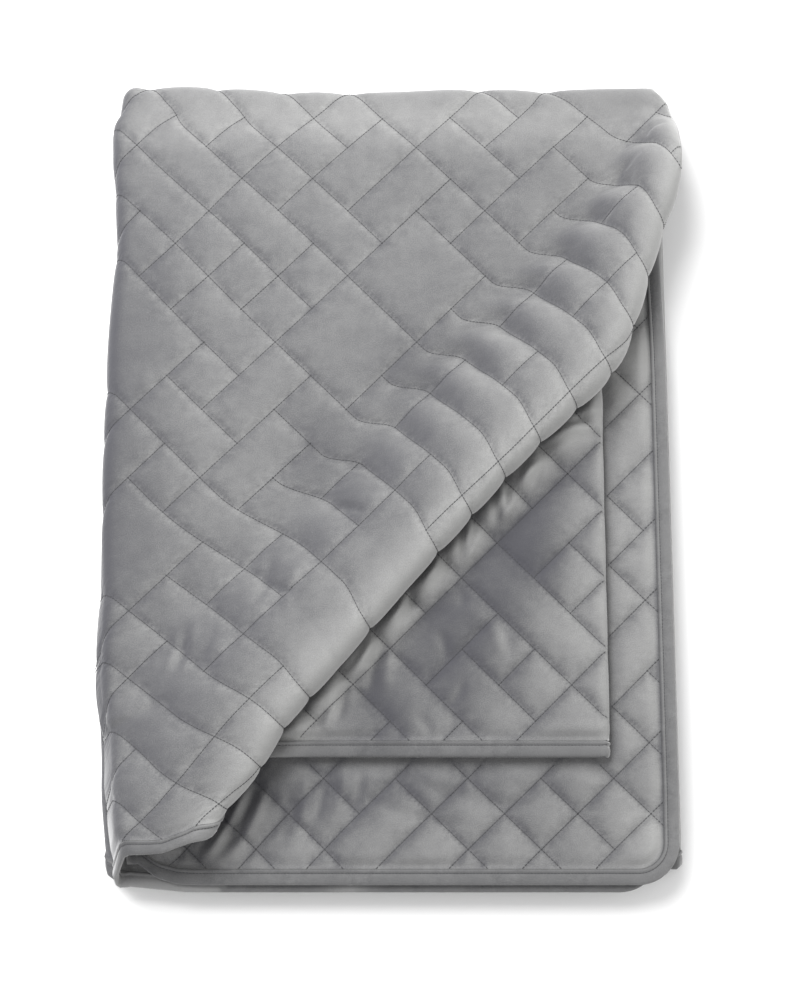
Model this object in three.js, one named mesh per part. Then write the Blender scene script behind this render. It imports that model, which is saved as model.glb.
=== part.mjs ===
// A quilted bedspread, folded in four across its width and in half along its length,
// with a deep slanting pleat pushed into the top two layers.
// Millimetres, +Z up. X is across the folded pile, Y along it, and the pile rests on z = 0.
//
// The cloth is worked out as it is made. It is cut flat, in coordinates (u, v) across its width
// and along its length, quilted flat, and then every point is carried to its folded place.

import * as THREE from 'three';

// Flat bedspread, binding included
const SHEET_WIDTH = 2465;
const SHEET_LENGTH = 1800;
const CORNER_RADIUS = 45;
const CORNER_STEPS = 5;
const BINDING_WIDTH = 17;
const PIECE_GAP = 0.3;

// Thickness, from the middle of the cloth
const BACK_HALF = 2.0;
const FACE_PRESSED = 2.4;
const FACE_SEAM = 1.2;
const FACE_CROWN = 4.6;
const BINDING_HALF = 2.2;
const EDGE_HALF = 1.7;
const EDGE_FADE = 18;

// Fold across the width. Each leaf is a flat run at its own level in the pile, counted in layers
// from the middle of the long fold, and a half round turn joins it to the next.
const LAYER_PITCH = 8;
const LEAVES = [
  { name: 'base', level: 0.5, heading: -1, run: 586 },
  { name: 'top', level: 3.5, heading: 1, run: 608 },
  { name: 'inner', level: 2.5, heading: -1, run: 606 },
  { name: 'shown', level: 1.5, heading: 1, run: 602 },
];
const LEFT_TURN_X = -308;
const TURN_STEPS = 6;

// Long fold, at the far edge of the pile, a little off the middle of the length. The layers are squeezed
// together in it and open out to their full pitch beyond it.
const LONG_FOLD_V = SHEET_LENGTH / 2 + 3;
const LONG_FOLD_Y = 444;
const LONG_FOLD_Z = FACE_PRESSED + 3.5 * LAYER_PITCH;
const LONG_FOLD_STEPS = 3;
const FOLD_SQUEEZE = 0.7;
const FOLD_OPENS = 70;

// Pleat in the top and inner leaves: they rise to a roll, turn under it, and turn back again.
// Its crease slants from the pleat's own direction, and turns at places down the roll.
const PLEAT_POINT = { x: 215, y: 120 };
const PLEAT_ANGLE = THREE.MathUtils.degToRad(48.8);
const PLEAT_SLANT = 0.4;
const PLEAT_TURNS = [
  { down: 0, slant: -0.494 },
  { down: 160, slant: 0.094 },
  { down: 570, slant: 0.22 },
];
const PLEAT_TAKE_UP = 143;
const ROLL_RADIUS = 16;
const RETURN_RADIUS = 8;
const RAMP = { foot: 130, narrows: 0.44, least: 78 };
const FOOT_SOFTNESS = 0.25;
const DRAG_ON_ROLL = 23;
const DRAG_REACH = 22;
const DRAG_UNDER_ROLL = 13;
const LIP = { from: -35, to: 20, drag: -14 };
const LOWER_LIP = { from: -80, to: 10, drag: 22, starts: 400, full: 640 };
const RISE_FADES = { from: LONG_FOLD_Y - 85, to: LONG_FOLD_Y - 4 };
const LOWER_END = { from: 550, to: 790, rise: 0.85 };
const ROLL_STEPS = 5;
const RISE_STEPS = 3;

// Quilting: square units on the bias, joined into blocks as charted. One letter is one block.
const UNIT = 55;
const CHART = [
  'AABCCDEE',
  'FGGHHIIJ',
  'lKLHHMNN',
  'OKLPQQRS',
  'TTUUVWWX',
  'TTYZVabb',
  'cddZeeef',
  'kghCCijj',
];
const CHART_ORIGIN = { u: 1027, v: 427 };
const SEAM_REACH = 12;
const STRIPS = { crown: 5, fade: 45, upperEnds: 80, lowerStarts: 290, lowerShare: 0.3 };
const STEPS_PER_UNIT = 3;
const BARELY_SHOWS = 0.15;

// How far the sides of the upper half lie to the right of straight, and of the lower half's left side
const SIDES = [
  { y: 440, left: 4, right: 0, under: -2 },
  { y: 380, left: -9, right: 7, under: -7 },
  { y: 270, left: 0, right: 6, under: -1 },
  { y: 130, left: -1, right: 0, under: -3 },
  { y: -110, left: 1, right: 0, under: 1 },
  { y: -220, left: -6, right: 0, under: -6 },
  { y: -330, left: 8, right: 0, under: 0 },
  { y: -430, left: 13, right: 0, under: 3 },
];
const SIDE_BLEND = 10;

// Longest stretch of cloth left straight
const STRAIGHT_RUN = 180;

const mod = (a, n) => ((a % n) + n) % n;
const lerp = THREE.MathUtils.lerp;
const smooth = (from, to, value) => THREE.MathUtils.smoothstep(value, from, to);

// Stretches of the width in order: runs and the turns between them
function widthStretches() {
  const stretches = [];
  let u = 0;
  let x = LEFT_TURN_X + LEAVES[0].run;
  LEAVES.forEach((leaf, k) => {
    const height = leaf.level * LAYER_PITCH;
    stretches.push({ kind: 'run', leaf: leaf.name, heading: leaf.heading, u, x, height, length: leaf.run });
    u += leaf.run;
    x += leaf.heading * leaf.run;
    const next = LEAVES[k + 1];
    if (next) {
      const middle = (leaf.level + next.level) / 2 * LAYER_PITCH;
      const radius = Math.abs(leaf.level - next.level) / 2 * LAYER_PITCH;
      const length = Math.PI * radius;
      stretches.push({
        kind: 'turn', leaf: `${leaf.name}_${next.name}`, heading: leaf.heading, u, x, middle, radius, length,
        rise: height - middle,
      });
      u += length;
    }
  });
  return stretches;
}

const STRETCHES = widthStretches();
const TOP = STRETCHES.find((s) => s.leaf === 'top');
const SHOWN = STRETCHES.find((s) => s.leaf === 'shown');
const LEFT_TURN = STRETCHES.find((s) => s.leaf === 'base_top');

function stretchAt(u) {
  return STRETCHES.findLast((s) => u >= s.u) ?? STRETCHES[0];
}

// Place across the pile, and height above the middle of the long fold
function across(u) {
  const s = stretchAt(u);
  const along = u - s.u;
  if (s.kind === 'run') {
    return { x: s.x + s.heading * along, h: s.height };
  }
  const angle = along / s.radius;
  return { x: s.x + s.heading * s.radius * Math.sin(angle), h: s.middle + s.rise * Math.cos(angle) };
}

// Place in the pile before the pleat. Each layer goes round the long fold at its own radius,
// so the outer layers end short of the inner ones.
function unpleated(u, v) {
  const { x, h } = across(u);
  const fromFold = v - LONG_FOLD_V;
  const tight = FOLD_SQUEEZE * h;
  const beyond = Math.abs(fromFold) - Math.PI / 2 * tight;
  if (beyond < 0) {
    const angle = fromFold / tight;
    return { x, h, y: LONG_FOLD_Y + tight * Math.cos(angle), z: LONG_FOLD_Z - tight * Math.sin(angle) };
  }
  const upper = fromFold < 0;
  const squeeze = lerp(FOLD_SQUEEZE, 1, smooth(0, FOLD_OPENS, beyond));
  return { x, h, upper, squeeze, y: LONG_FOLD_Y - beyond, z: LONG_FOLD_Z + (upper ? h : -h) * squeeze };
}

// Pleat coordinates of a place in the pile: `past` is how far beyond the start of the roll it lies,
// and `down` how far along the roll towards its lower end
const ACROSS_PLEAT = { x: Math.sin(PLEAT_ANGLE), y: -Math.cos(PLEAT_ANGLE) };
const DOWN_PLEAT = { x: -Math.cos(PLEAT_ANGLE), y: -Math.sin(PLEAT_ANGLE) };

function pleatCoordinates({ x, y }) {
  const dx = x - PLEAT_POINT.x;
  const dy = y - PLEAT_POINT.y;
  const down = dx * DOWN_PLEAT.x + dy * DOWN_PLEAT.y;
  const turned = PLEAT_TURNS.reduce((sum, turn) => sum + turn.slant * Math.max(down - turn.down, 0), 0);
  return { past: dx * ACROSS_PLEAT.x + dy * ACROSS_PLEAT.y - PLEAT_SLANT * down - turned, down };
}

// Section of the pleat for the middle of the two leaves: place across the roll, height, and normal
const ROLL_RISE = 2 * (ROLL_RADIUS + RETURN_RADIUS);
const ROLL_LENGTH = Math.PI * ROLL_RADIUS;
const RETURN_LENGTH = Math.PI * RETURN_RADIUS;
const TUCK_DEPTH = (PLEAT_TAKE_UP - ROLL_LENGTH - RETURN_LENGTH) / 2;
const RETURN_START = ROLL_LENGTH + TUCK_DEPTH;
const RETURN_END = RETURN_START + RETURN_LENGTH;

function pleatSection(past) {
  if (past < ROLL_LENGTH) {
    const a = past / ROLL_RADIUS;
    return {
      place: ROLL_RADIUS * Math.sin(a), height: ROLL_RISE - ROLL_RADIUS * (1 - Math.cos(a)),
      lean: Math.sin(a), stand: Math.cos(a),
    };
  }
  if (past < RETURN_START) {
    return { place: ROLL_LENGTH - past, height: 2 * RETURN_RADIUS, lean: 0, stand: -1 };
  }
  if (past < RETURN_END) {
    const b = (past - RETURN_START) / RETURN_RADIUS;
    return {
      place: -TUCK_DEPTH - RETURN_RADIUS * Math.sin(b), height: RETURN_RADIUS * (1 + Math.cos(b)),
      lean: Math.sin(b), stand: -Math.cos(b),
    };
  }
  return { place: past - PLEAT_TAKE_UP, height: 0, lean: 0, stand: 1 };
}

// How far before the roll the slope up to it starts: it narrows towards the far end
const footWidth = (down) => Math.max(RAMP.foot + RAMP.narrows * Math.min(down, 0), RAMP.least);

// Share of the roll's rise on the slope up to it: a dome that starts from a soft foot
function ramp(past, down) {
  const share = THREE.MathUtils.clamp(1 + past / footWidth(down), 0, 1);
  return Math.sin(Math.PI / 2 * share) * smooth(0, FOOT_SOFTNESS, share);
}

// How far the slope, the roll's lip and the cloth under it are dragged up along the roll
function dragAlong(past, down) {
  const onRoll = DRAG_ON_ROLL * smooth(-DRAG_REACH, DRAG_REACH, past + footWidth(down));
  const underRoll = smooth(ROLL_LENGTH, RETURN_END, past);
  const atLip = LIP.drag * smooth(LIP.from, LIP.to, past);
  const atLowerLip = LOWER_LIP.drag * smooth(LOWER_LIP.from, LOWER_LIP.to, past);
  const lip = lerp(atLip, atLowerLip, smooth(LOWER_LIP.starts, LOWER_LIP.full, down));
  return onRoll + lip * (1 - underRoll) + DRAG_UNDER_ROLL * underRoll;
}

const PLEATED_MIDDLE = 3 * LAYER_PITCH;

function pleated(point) {
  const { x, y, z, h } = point;
  const share = smooth(1.5 * LAYER_PITCH, 2.5 * LAYER_PITCH, h);
  if (!point.upper || share === 0) {
    return point;
  }
  const { past, down } = pleatCoordinates(point);
  const lower = lerp(1, LOWER_END.rise, smooth(LOWER_END.from, LOWER_END.to, down));
  const full = share * lower * (1 - smooth(RISE_FADES.from, RISE_FADES.to, y));
  const drag = full * dragAlong(past, down);
  let shift = 0;
  let lifted = z + full * ROLL_RISE * ramp(past, down);
  if (past > 0) {
    const section = pleatSection(past);
    const above = h - PLEATED_MIDDLE;
    shift = section.place + above * section.lean - past;
    lifted = LONG_FOLD_Z + point.squeeze * (PLEATED_MIDDLE + above * section.stand) + full * section.height;
  }
  return {
    x: x + shift * ACROSS_PLEAT.x - drag * DOWN_PLEAT.x,
    y: y + shift * ACROSS_PLEAT.y - drag * DOWN_PLEAT.y,
    z: lifted,
  };
}

// Middle of the folded cloth at a place in the flat sheet
function folded(u, v) {
  const { x, y, z } = pleated(unpleated(u, v));
  const upper = smooth(-SIDE_BLEND, SIDE_BLEND, z - LONG_FOLD_Z);
  const sway = x < 0 ? lerp(sideAt('under', y), sideAt('left', y), upper) : upper * sideAt('right', y);
  return new THREE.Vector3(x + smooth(0, -LEFT_TURN_X, Math.abs(x)) * sway, y, z);
}

function sideAt(column, y) {
  const next = SIDES.findIndex((row) => y > row.y);
  if (next < 1) {
    return SIDES.at(next)[column];
  }
  const above = SIDES[next - 1];
  const below = SIDES[next];
  return lerp(below[column], above[column], smooth(below.y, above.y, y));
}

const PROBE = 0.02;

function foldedNormal(u, v) {
  const du = folded(u + PROBE, v).sub(folded(u - PROBE, v));
  const dv = folded(u, v + PROBE).sub(folded(u, v - PROBE));
  return du.cross(dv).normalize();
}

// A point of a piece: `out` is its distance from the middle of the cloth towards the face
function clothPoint(u, v, out) {
  return folded(u, v).addScaledVector(foldedNormal(u, v), out);
}

// Bias coordinates of the quilting, in units: on the top leaf `i` goes down to the right, `j` up to the right
const BIAS = UNIT * Math.SQRT2;
const biasI = (u, v) => (u - CHART_ORIGIN.u - (v - CHART_ORIGIN.v)) / BIAS;
const biasJ = (u, v) => (u - CHART_ORIGIN.u + (v - CHART_ORIGIN.v)) / BIAS;
const blockAt = (i, j) => CHART[mod(Math.floor(j), CHART.length)][mod(Math.floor(i), CHART[0].length)];

// How far the block goes on from a place, in units, one way along i or j
function reach(i, j, stepI, stepJ) {
  const block = blockAt(i, j);
  let units = 0;
  while (blockAt(i + (units + 1) * stepI, j + (units + 1) * stepJ) === block) {
    units += 1;
  }
  const part = mod(stepI ? i : j, 1);
  return units + (stepI + stepJ > 0 ? 1 - part : part);
}

// Fullness of the wadding, from 0 on a seam to 1 inside a large block
const INSIDE = 1e-6;

function fullness(u, v) {
  const i = biasI(u, v);
  const j = biasJ(u, v);
  const onLine = (t) => Math.abs(t - Math.round(t)) < INSIDE;
  const seamOfI = onLine(i) && blockAt(i + 2 * INSIDE, j) !== blockAt(i - 2 * INSIDE, j);
  const seamOfJ = onLine(j) && blockAt(i, j + 2 * INSIDE) !== blockAt(i, j - 2 * INSIDE);
  if (seamOfI || seamOfJ) {
    return 0;
  }
  const ii = i + INSIDE;
  const jj = j + INSIDE;
  const rise = (one, other) => 1 - Math.exp(-Math.min(one, other) * UNIT / SEAM_REACH);
  return rise(reach(ii, jj, -1, 0), reach(ii, jj, 1, 0)) * rise(reach(ii, jj, 0, -1), reach(ii, jj, 0, 1));
}

// Share of its fullness that the face keeps: none where another layer presses on it
const TOP_LEAF_END = TOP.u + TOP.length;
const COVER_FADE = 25;
const ROLL_COVERED_FROM = 0.6 * ROLL_LENGTH;

function open(u, v) {
  const nearHalf = 1 - smooth(LONG_FOLD_V, LONG_FOLD_V + 2 * COVER_FADE, v);
  const point = unpleated(u, v);
  const { past } = pleatCoordinates(point);
  if (u > LEFT_TURN.u && u < TOP_LEAF_END) {
    const before = 1 - smooth(ROLL_COVERED_FROM, ROLL_LENGTH, past);
    const after = smooth(ROLL_RADIUS, ROLL_RADIUS + 2 * COVER_FADE, past - PLEAT_TAKE_UP);
    return nearHalf * smooth(LEFT_TURN.u, TOP.u, u) * Math.max(before, after);
  }
  if (u > SHOWN.u) {
    const right = smooth(COVERED.x, COVERED.x + COVER_FADE, point.x);
    const near = 1 - smooth(COVERED.y - COVER_FADE, COVERED.y, point.y);
    return nearHalf * Math.max(right, near);
  }
  return 0;
}

// Corner of the pleated top leaf that lies on the shown leaf
const COVERED = coveredCorner();

function coveredCorner() {
  const corner = pleated(unpleated(TOP_LEAF_END - 1, 0));
  return { x: corner.x, y: corner.y };
}

// Distance in from the sewn edge of the panel
function fromEdge(u, v) {
  const du = Math.abs(u - SHEET_WIDTH / 2) - (SHEET_WIDTH / 2 - CORNER_RADIUS);
  const dv = Math.abs(v - SHEET_LENGTH / 2) - (SHEET_LENGTH / 2 - CORNER_RADIUS);
  const beyond = Math.hypot(Math.max(du, 0), Math.max(dv, 0)) + Math.min(Math.max(du, dv), 0);
  return CORNER_RADIUS - BINDING_WIDTH - beyond;
}

const sewnDown = (u, v, half) => lerp(EDGE_HALF, half, smooth(0, EDGE_FADE, fromEdge(u, v)));

function faceHalf(u, v) {
  const share = open(u, v);
  const quilted = share === 0 ? 0 : lerp(FACE_SEAM, FACE_CROWN, fullness(u, v)) + puff(u, v);
  return sewnDown(u, v, lerp(FACE_PRESSED, quilted, share));
}

// On the slope and the roll the cloth also puffs up in strips between the seams that cross them
function puff(u, v) {
  if (!onPleatedLeaves(u, v)) {
    return 0;
  }
  const { past, down } = pleatCoordinates(unpleated(u, v));
  const fromFoot = past + footWidth(down);
  const onSlope = smooth(0, STRIPS.fade, fromFoot) * (1 - smooth(0, ROLL_LENGTH, past));
  const strength = lerp(1, STRIPS.lowerShare, smooth(STRIPS.upperEnds, STRIPS.lowerStarts, down));
  return STRIPS.crown * strength * onSlope * (1 - (2 * mod(biasJ(u, v), 1) - 1) ** 2);
}

const backHalf = (u, v) => sewnDown(u, v, BACK_HALF);

// Outline of the flat sheet, `inset` in from the finished edge, counter-clockwise
function outline(inset) {
  const radius = CORNER_RADIUS - inset;
  const points = [];
  const corners = [[1, 0, -90], [1, 1, 0], [0, 1, 90], [0, 0, 180]];
  for (const [farU, farV, start] of corners) {
    const u = farU ? SHEET_WIDTH - CORNER_RADIUS : CORNER_RADIUS;
    const v = farV ? SHEET_LENGTH - CORNER_RADIUS : CORNER_RADIUS;
    for (let k = 0; k <= CORNER_STEPS; k += 1) {
      const angle = THREE.MathUtils.degToRad(start + 90 * k / CORNER_STEPS);
      points.push([u + radius * Math.cos(angle), v + radius * Math.sin(angle)]);
    }
  }
  return points;
}

// Splits one convex cell of the flat sheet along measure(u, v) = value
const TOUCH = 1e-7;

function splitCell(cell, measure, value) {
  const heights = cell.map(([u, v]) => measure(u, v) - value);
  if (heights.every((h) => h > -TOUCH) || heights.every((h) => h < TOUCH)) {
    return [cell];
  }
  const low = [];
  const high = [];
  cell.forEach((point, k) => {
    const next = (k + 1) % cell.length;
    const here = heights[k];
    if (here < TOUCH) low.push(point);
    if (here > -TOUCH) high.push(point);
    if (here * heights[next] < 0 && Math.abs(here) > TOUCH && Math.abs(heights[next]) > TOUCH) {
      const share = here / (here - heights[next]);
      const cut = [lerp(point[0], cell[next][0], share), lerp(point[1], cell[next][1], share)];
      low.push(cut);
      high.push(cut);
    }
  });
  return [low, high];
}

function cutCells(cells, measure, values, where = () => true) {
  return cells.flatMap((cell) => {
    const u = cell.reduce((sum, p) => sum + p[0], 0) / cell.length;
    const v = cell.reduce((sum, p) => sum + p[1], 0) / cell.length;
    if (!where(u, v)) {
      return [cell];
    }
    const split = (pieces, value) => pieces.flatMap((piece) => splitCell(piece, measure, value));
    return values.reduce(split, [cell]);
  });
}

const alongU = (u) => u;
const alongV = (u, v) => v;
const steps = (from, to, count) => Array.from({ length: count + 1 }, (_, k) => lerp(from, to, k / count));

// Cuts that the folds need, in every layer
function foldCuts(cells) {
  for (const s of STRETCHES.filter((stretch) => stretch.kind === 'turn')) {
    cells = cutCells(cells, alongU, steps(s.u, s.u + s.length, TURN_STEPS));
  }
  for (const s of STRETCHES) {
    const levels = s.kind === 'run' ? [s.height] : [s.middle + s.rise, s.middle - s.rise];
    const inStretch = (u) => stretchAt(u) === s;
    for (const h of levels) {
      const bend = Math.PI / 2 * FOLD_SQUEEZE * h;
      const open = bend + FOLD_OPENS;
      const lines = [-open, ...steps(-bend, bend, 2 * LONG_FOLD_STEPS), open];
      cells = cutCells(cells, alongV, lines.map((along) => LONG_FOLD_V + along), inStretch);
    }
  }
  return cells;
}

// Cuts that the pleat needs, in the top and inner leaves and the turn between them
const pleatPast = (u, v) => pleatCoordinates(unpleated(u, v)).past;
const pleatDown = (u, v) => pleatCoordinates(unpleated(u, v)).down;
const onPleatedLeaves = (u, v) => u > TOP.u && u < SHOWN.u && v < LONG_FOLD_V - 2 * FOLD_SQUEEZE * TOP.height;

const pastFoot = (u, v) => pleatPast(u, v) + footWidth(pleatDown(u, v));

function pleatCuts(cells) {
  const rises = (u, v) => onPleatedLeaves(u, v) && pastFoot(u, v) > 0;
  const fades = steps(RISE_FADES.from, RISE_FADES.to, RISE_STEPS);
  const narrowest = (RAMP.least - RAMP.foot) / RAMP.narrows;
  const lines = [...steps(0, ROLL_LENGTH, ROLL_STEPS), ...steps(RETURN_START, RETURN_END, TURN_STEPS)];
  cells = cutCells(cells, pleatDown, [narrowest, ...PLEAT_TURNS.map((turn) => turn.down)], onPleatedLeaves);
  cells = cutCells(cells, pastFoot, [-DRAG_REACH], onPleatedLeaves);
  for (const share of steps(1 / ROLL_STEPS, 1, ROLL_STEPS - 1)) {
    const partWay = (u, v) => pleatPast(u, v) + share * footWidth(pleatDown(u, v));
    cells = cutCells(cells, partWay, [0], onPleatedLeaves);
  }
  cells = cutCells(cells, pleatPast, lines, onPleatedLeaves);
  return cutCells(cells, (u, v) => unpleated(u, v).y, fades, rises);
}

// Cuts along the quilting, where the face shows. On the ramp and the roll, which lie nearly along
// one set of seams, that set is cut at its seams alone.
function quiltCuts(cells) {
  const reachUnits = Math.ceil((SHEET_WIDTH + SHEET_LENGTH) / BIAS);
  const seams = steps(-reachUnits, reachUnits, 2 * reachUnits);
  const lines = steps(-reachUnits, reachUnits, 2 * reachUnits * STEPS_PER_UNIT);
  const shows = (u, v) => stretchAt(u).kind === 'run' && v < LONG_FOLD_V && open(u, v) > BARELY_SHOWS;
  const bent = (u, v) => onPleatedLeaves(u, v) && pastFoot(u, v) > 0 && pleatPast(u, v) < ROLL_LENGTH;
  cells = cutCells(cells, biasI, lines, (u, v) => shows(u, v) && !bent(u, v));
  cells = cutCells(cells, biasI, seams, (u, v) => shows(u, v) && bent(u, v));
  return cutCells(cells, biasJ, lines, shows);
}

function straightCuts(cells) {
  const rows = Math.round(SHEET_LENGTH / STRAIGHT_RUN);
  return cutCells(cells, alongV, steps(0, SHEET_LENGTH, rows));
}

// Share of the way along a side at which a point lies, or null if it is off the side
const ON_LINE = 1e-3;

function shareAlong([u, v], a, b) {
  const du = b[0] - a[0];
  const dv = b[1] - a[1];
  const length = Math.hypot(du, dv);
  const share = ((u - a[0]) * du + (v - a[1]) * dv) / length ** 2;
  const off = Math.abs((u - a[0]) * dv - (v - a[1]) * du) / length;
  return off < ON_LINE && share > -INSIDE && share < 1 + INSIDE ? share : null;
}

// Adds to each cell the corners of other cells that lie on its sides
const GRAIN = 30;
const keyOf = ([u, v]) => `${Math.round(u * 1e4)},${Math.round(v * 1e4)}`;

function meetCorners(cells, extraPoints) {
  const buckets = new Map();
  const seen = new Set();
  for (const point of [...cells.flat(), ...extraPoints]) {
    const key = keyOf(point);
    if (!seen.has(key)) {
      seen.add(key);
      const bucket = `${Math.floor(point[0] / GRAIN)},${Math.floor(point[1] / GRAIN)}`;
      buckets.set(bucket, [...(buckets.get(bucket) ?? []), point]);
    }
  }
  const near = (a, b) => {
    const found = [];
    const low = [0, 1].map((k) => Math.floor((Math.min(a[k], b[k]) - ON_LINE) / GRAIN));
    const high = [0, 1].map((k) => Math.floor((Math.max(a[k], b[k]) + ON_LINE) / GRAIN));
    for (let p = low[0]; p <= high[0]; p += 1) {
      for (let q = low[1]; q <= high[1]; q += 1) {
        found.push(...(buckets.get(`${p},${q}`) ?? []));
      }
    }
    return found;
  };
  return cells.map((cell) => cell.flatMap((a, k) => {
    const b = cell[(k + 1) % cell.length];
    if (keyOf(a) === keyOf(b)) {
      return [];
    }
    const between = near(a, b)
      .map((point) => ({ point, share: shareAlong(point, a, b) }))
      .filter(({ point, share }) => share !== null && keyOf(point) !== keyOf(a) && keyOf(point) !== keyOf(b))
      .sort((one, two) => one.share - two.share);
    return [a, ...between.map(({ point }) => point)];
  }));
}

function onOutline(point, edge) {
  return edge.some((a, k) => shareAlong(point, a, edge[(k + 1) % edge.length]) !== null);
}

// Collects the points and triangles of one closed solid
class Solid {
  positions = [];
  indices = [];
  known = new Map();

  point(key, make) {
    if (!this.known.has(key)) {
      this.known.set(key, this.positions.length / 3);
      this.positions.push(...make().toArray());
    }
    return this.known.get(key);
  }

  polygon(corners, centre) {
    if (corners.length === 3) {
      this.indices.push(...corners);
      return;
    }
    const middle = centre();
    corners.forEach((corner, k) => this.indices.push(corner, corners[(k + 1) % corners.length], middle));
  }

  quad(a, b, c, d) {
    this.indices.push(a, b, c, a, c, d);
  }

  geometry() {
    const geometry = new THREE.BufferGeometry();
    geometry.setAttribute('position', new THREE.Float32BufferAttribute(this.positions, 3));
    geometry.setIndex(this.indices);
    geometry.computeVertexNormals();
    return geometry;
  }
}

function layCells(solid, cells, side, half) {
  const corner = ([u, v]) => {
    const make = () => clothPoint(u, v, side * half(u, v));
    return solid.point(`${side}${keyOf([u, v])}`, make);
  };
  for (const cell of cells) {
    const ring = side > 0 ? cell : [...cell].reverse();
    const corners = ring.map(corner);
    if (corners.length === 4 && cell.plain) {
      solid.quad(...corners);
      continue;
    }
    solid.polygon(corners, () => {
      const u = ring.reduce((sum, p) => sum + p[0], 0) / ring.length;
      const v = ring.reduce((sum, p) => sum + p[1], 0) / ring.length;
      return corner([u, v]);
    });
  }
}

const panelOutline = outline(BINDING_WIDTH);
const backCut = pleatCuts(straightCuts(foldCuts([panelOutline])));
const faceCut = quiltCuts(backCut);
const onEdge = (cells) => cells.flat().filter((p) => onOutline(p, panelOutline));

function markPlain(before, after) {
  after.forEach((cell, k) => {
    cell.plain = cell.length === 4 && before[k].length === 4;
  });
  return after;
}

function quiltedPanel() {
  const solid = new Solid();
  const faceCells = markPlain(faceCut, meetCorners(faceCut, onEdge(backCut)));
  const backCells = markPlain(backCut, meetCorners(backCut, onEdge(faceCut)));
  layCells(solid, faceCells, 1, faceHalf);
  layCells(solid, backCells, -1, backHalf);
  for (const cell of faceCells) {
    cell.forEach((a, k) => {
      const b = cell[(k + 1) % cell.length];
      const middle = [(a[0] + b[0]) / 2, (a[1] + b[1]) / 2];
      if (onOutline(a, panelOutline) && onOutline(b, panelOutline) && onOutline(middle, panelOutline)) {
        const [faceA, faceB] = [a, b].map((p) => solid.known.get(`1${keyOf(p)}`));
        const [backA, backB] = [a, b].map((p) => solid.known.get(`-1${keyOf(p)}`));
        solid.quad(faceB, faceA, backA, backB);
      }
    });
  }
  return solid.geometry();
}

// Binding: a flat rounded strip round the whole edge. Section rows: share of its width out from
// the panel, and half thickness.
const BINDING_SECTION = [
  { out: 0, half: EDGE_HALF },
  { out: 0.2, half: BINDING_HALF },
  { out: 0.8, half: BINDING_HALF },
  { out: 1, half: BINDING_HALF / 2 },
];

function edgeBinding() {
  const solid = new Solid();
  const inner = outline(BINDING_WIDTH - PIECE_GAP);
  const outer = outline(0);
  const stations = edgeStations(inner, outer);
  const ring = [
    ...BINDING_SECTION.map((row) => ({ ...row, side: 1 })),
    ...[...BINDING_SECTION].reverse().map((row) => ({ ...row, side: -1 })),
  ];
  const place = (station, row) => {
    const u = lerp(station.inner[0], station.outer[0], row.out);
    const v = lerp(station.inner[1], station.outer[1], row.out);
    return clothPoint(u, v, row.side * row.half);
  };
  const index = stations.map((station, s) => ring.map((row, r) => (
    solid.point(`${s},${r}`, () => place(station, row))
  )));
  index.forEach((here, s) => {
    const next = index[(s + 1) % index.length];
    here.forEach((_, r) => {
      const q = (r + 1) % ring.length;
      solid.quad(here[r], here[q], next[q], next[r]);
    });
  });
  return solid.geometry();
}

// Stations along the edge, wherever the back of the panel is cut
const LEAST_STEP = 0.1;

function edgeStations(inner, outer) {
  const cut = onEdge(backCut);
  const stations = [];
  panelOutline.forEach((a, k) => {
    const next = (k + 1) % panelOutline.length;
    const b = panelOutline[next];
    const length = Math.hypot(b[0] - a[0], b[1] - a[1]);
    const distances = cut
      .map((point) => (shareAlong(point, a, b) ?? 0) * length)
      .filter((distance) => distance > LEAST_STEP && distance < length - LEAST_STEP)
      .sort((one, two) => one - two);
    const apart = distances.filter((distance, n) => n === 0 || distance - distances[n - 1] > ON_LINE);
    for (const distance of [0, ...apart]) {
      const share = distance / length;
      stations.push({
        inner: [lerp(inner[k][0], inner[next][0], share), lerp(inner[k][1], inner[next][1], share)],
        outer: [lerp(outer[k][0], outer[next][0], share), lerp(outer[k][1], outer[next][1], share)],
      });
    }
  });
  return stations;
}

function piece(name, geometry, color, roughness) {
  const material = new THREE.MeshStandardMaterial({ color, roughness, metalness: 0 });
  const mesh = new THREE.Mesh(geometry, material);
  mesh.name = name;
  return mesh;
}

// The pile stands on z = 0 with the middle of its box at x = 0, y = 0
function centred(pieces) {
  const box = new THREE.Box3();
  pieces.forEach((mesh) => box.expandByObject(mesh));
  const middle = box.getCenter(new THREE.Vector3());
  pieces.forEach((mesh) => mesh.geometry.translate(-middle.x, -middle.y, -box.min.z));
  return pieces;
}

const bedspread = new THREE.Group();
bedspread.add(...centred([
  piece('quilted_panel', quiltedPanel(), 0x9d9da0, 0.9),
  piece('edge_binding', edgeBinding(), 0x8b8b8f, 0.9),
]));

export default bedspread;
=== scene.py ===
# A quilted velvet bedspread, folded in four across its width and in half along its length, with a deep
# slanting pleat pushed into its top two layers.
# Sizes are in millimetres until a mesh is made. X is across the folded pile, Y along it, and Z up.
# The cloth is cut flat, in coordinates (u, v) across its width and along its length, quilted flat, and
# then every point is carried to its folded place.

import math
from types import SimpleNamespace
from typing import NamedTuple

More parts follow.
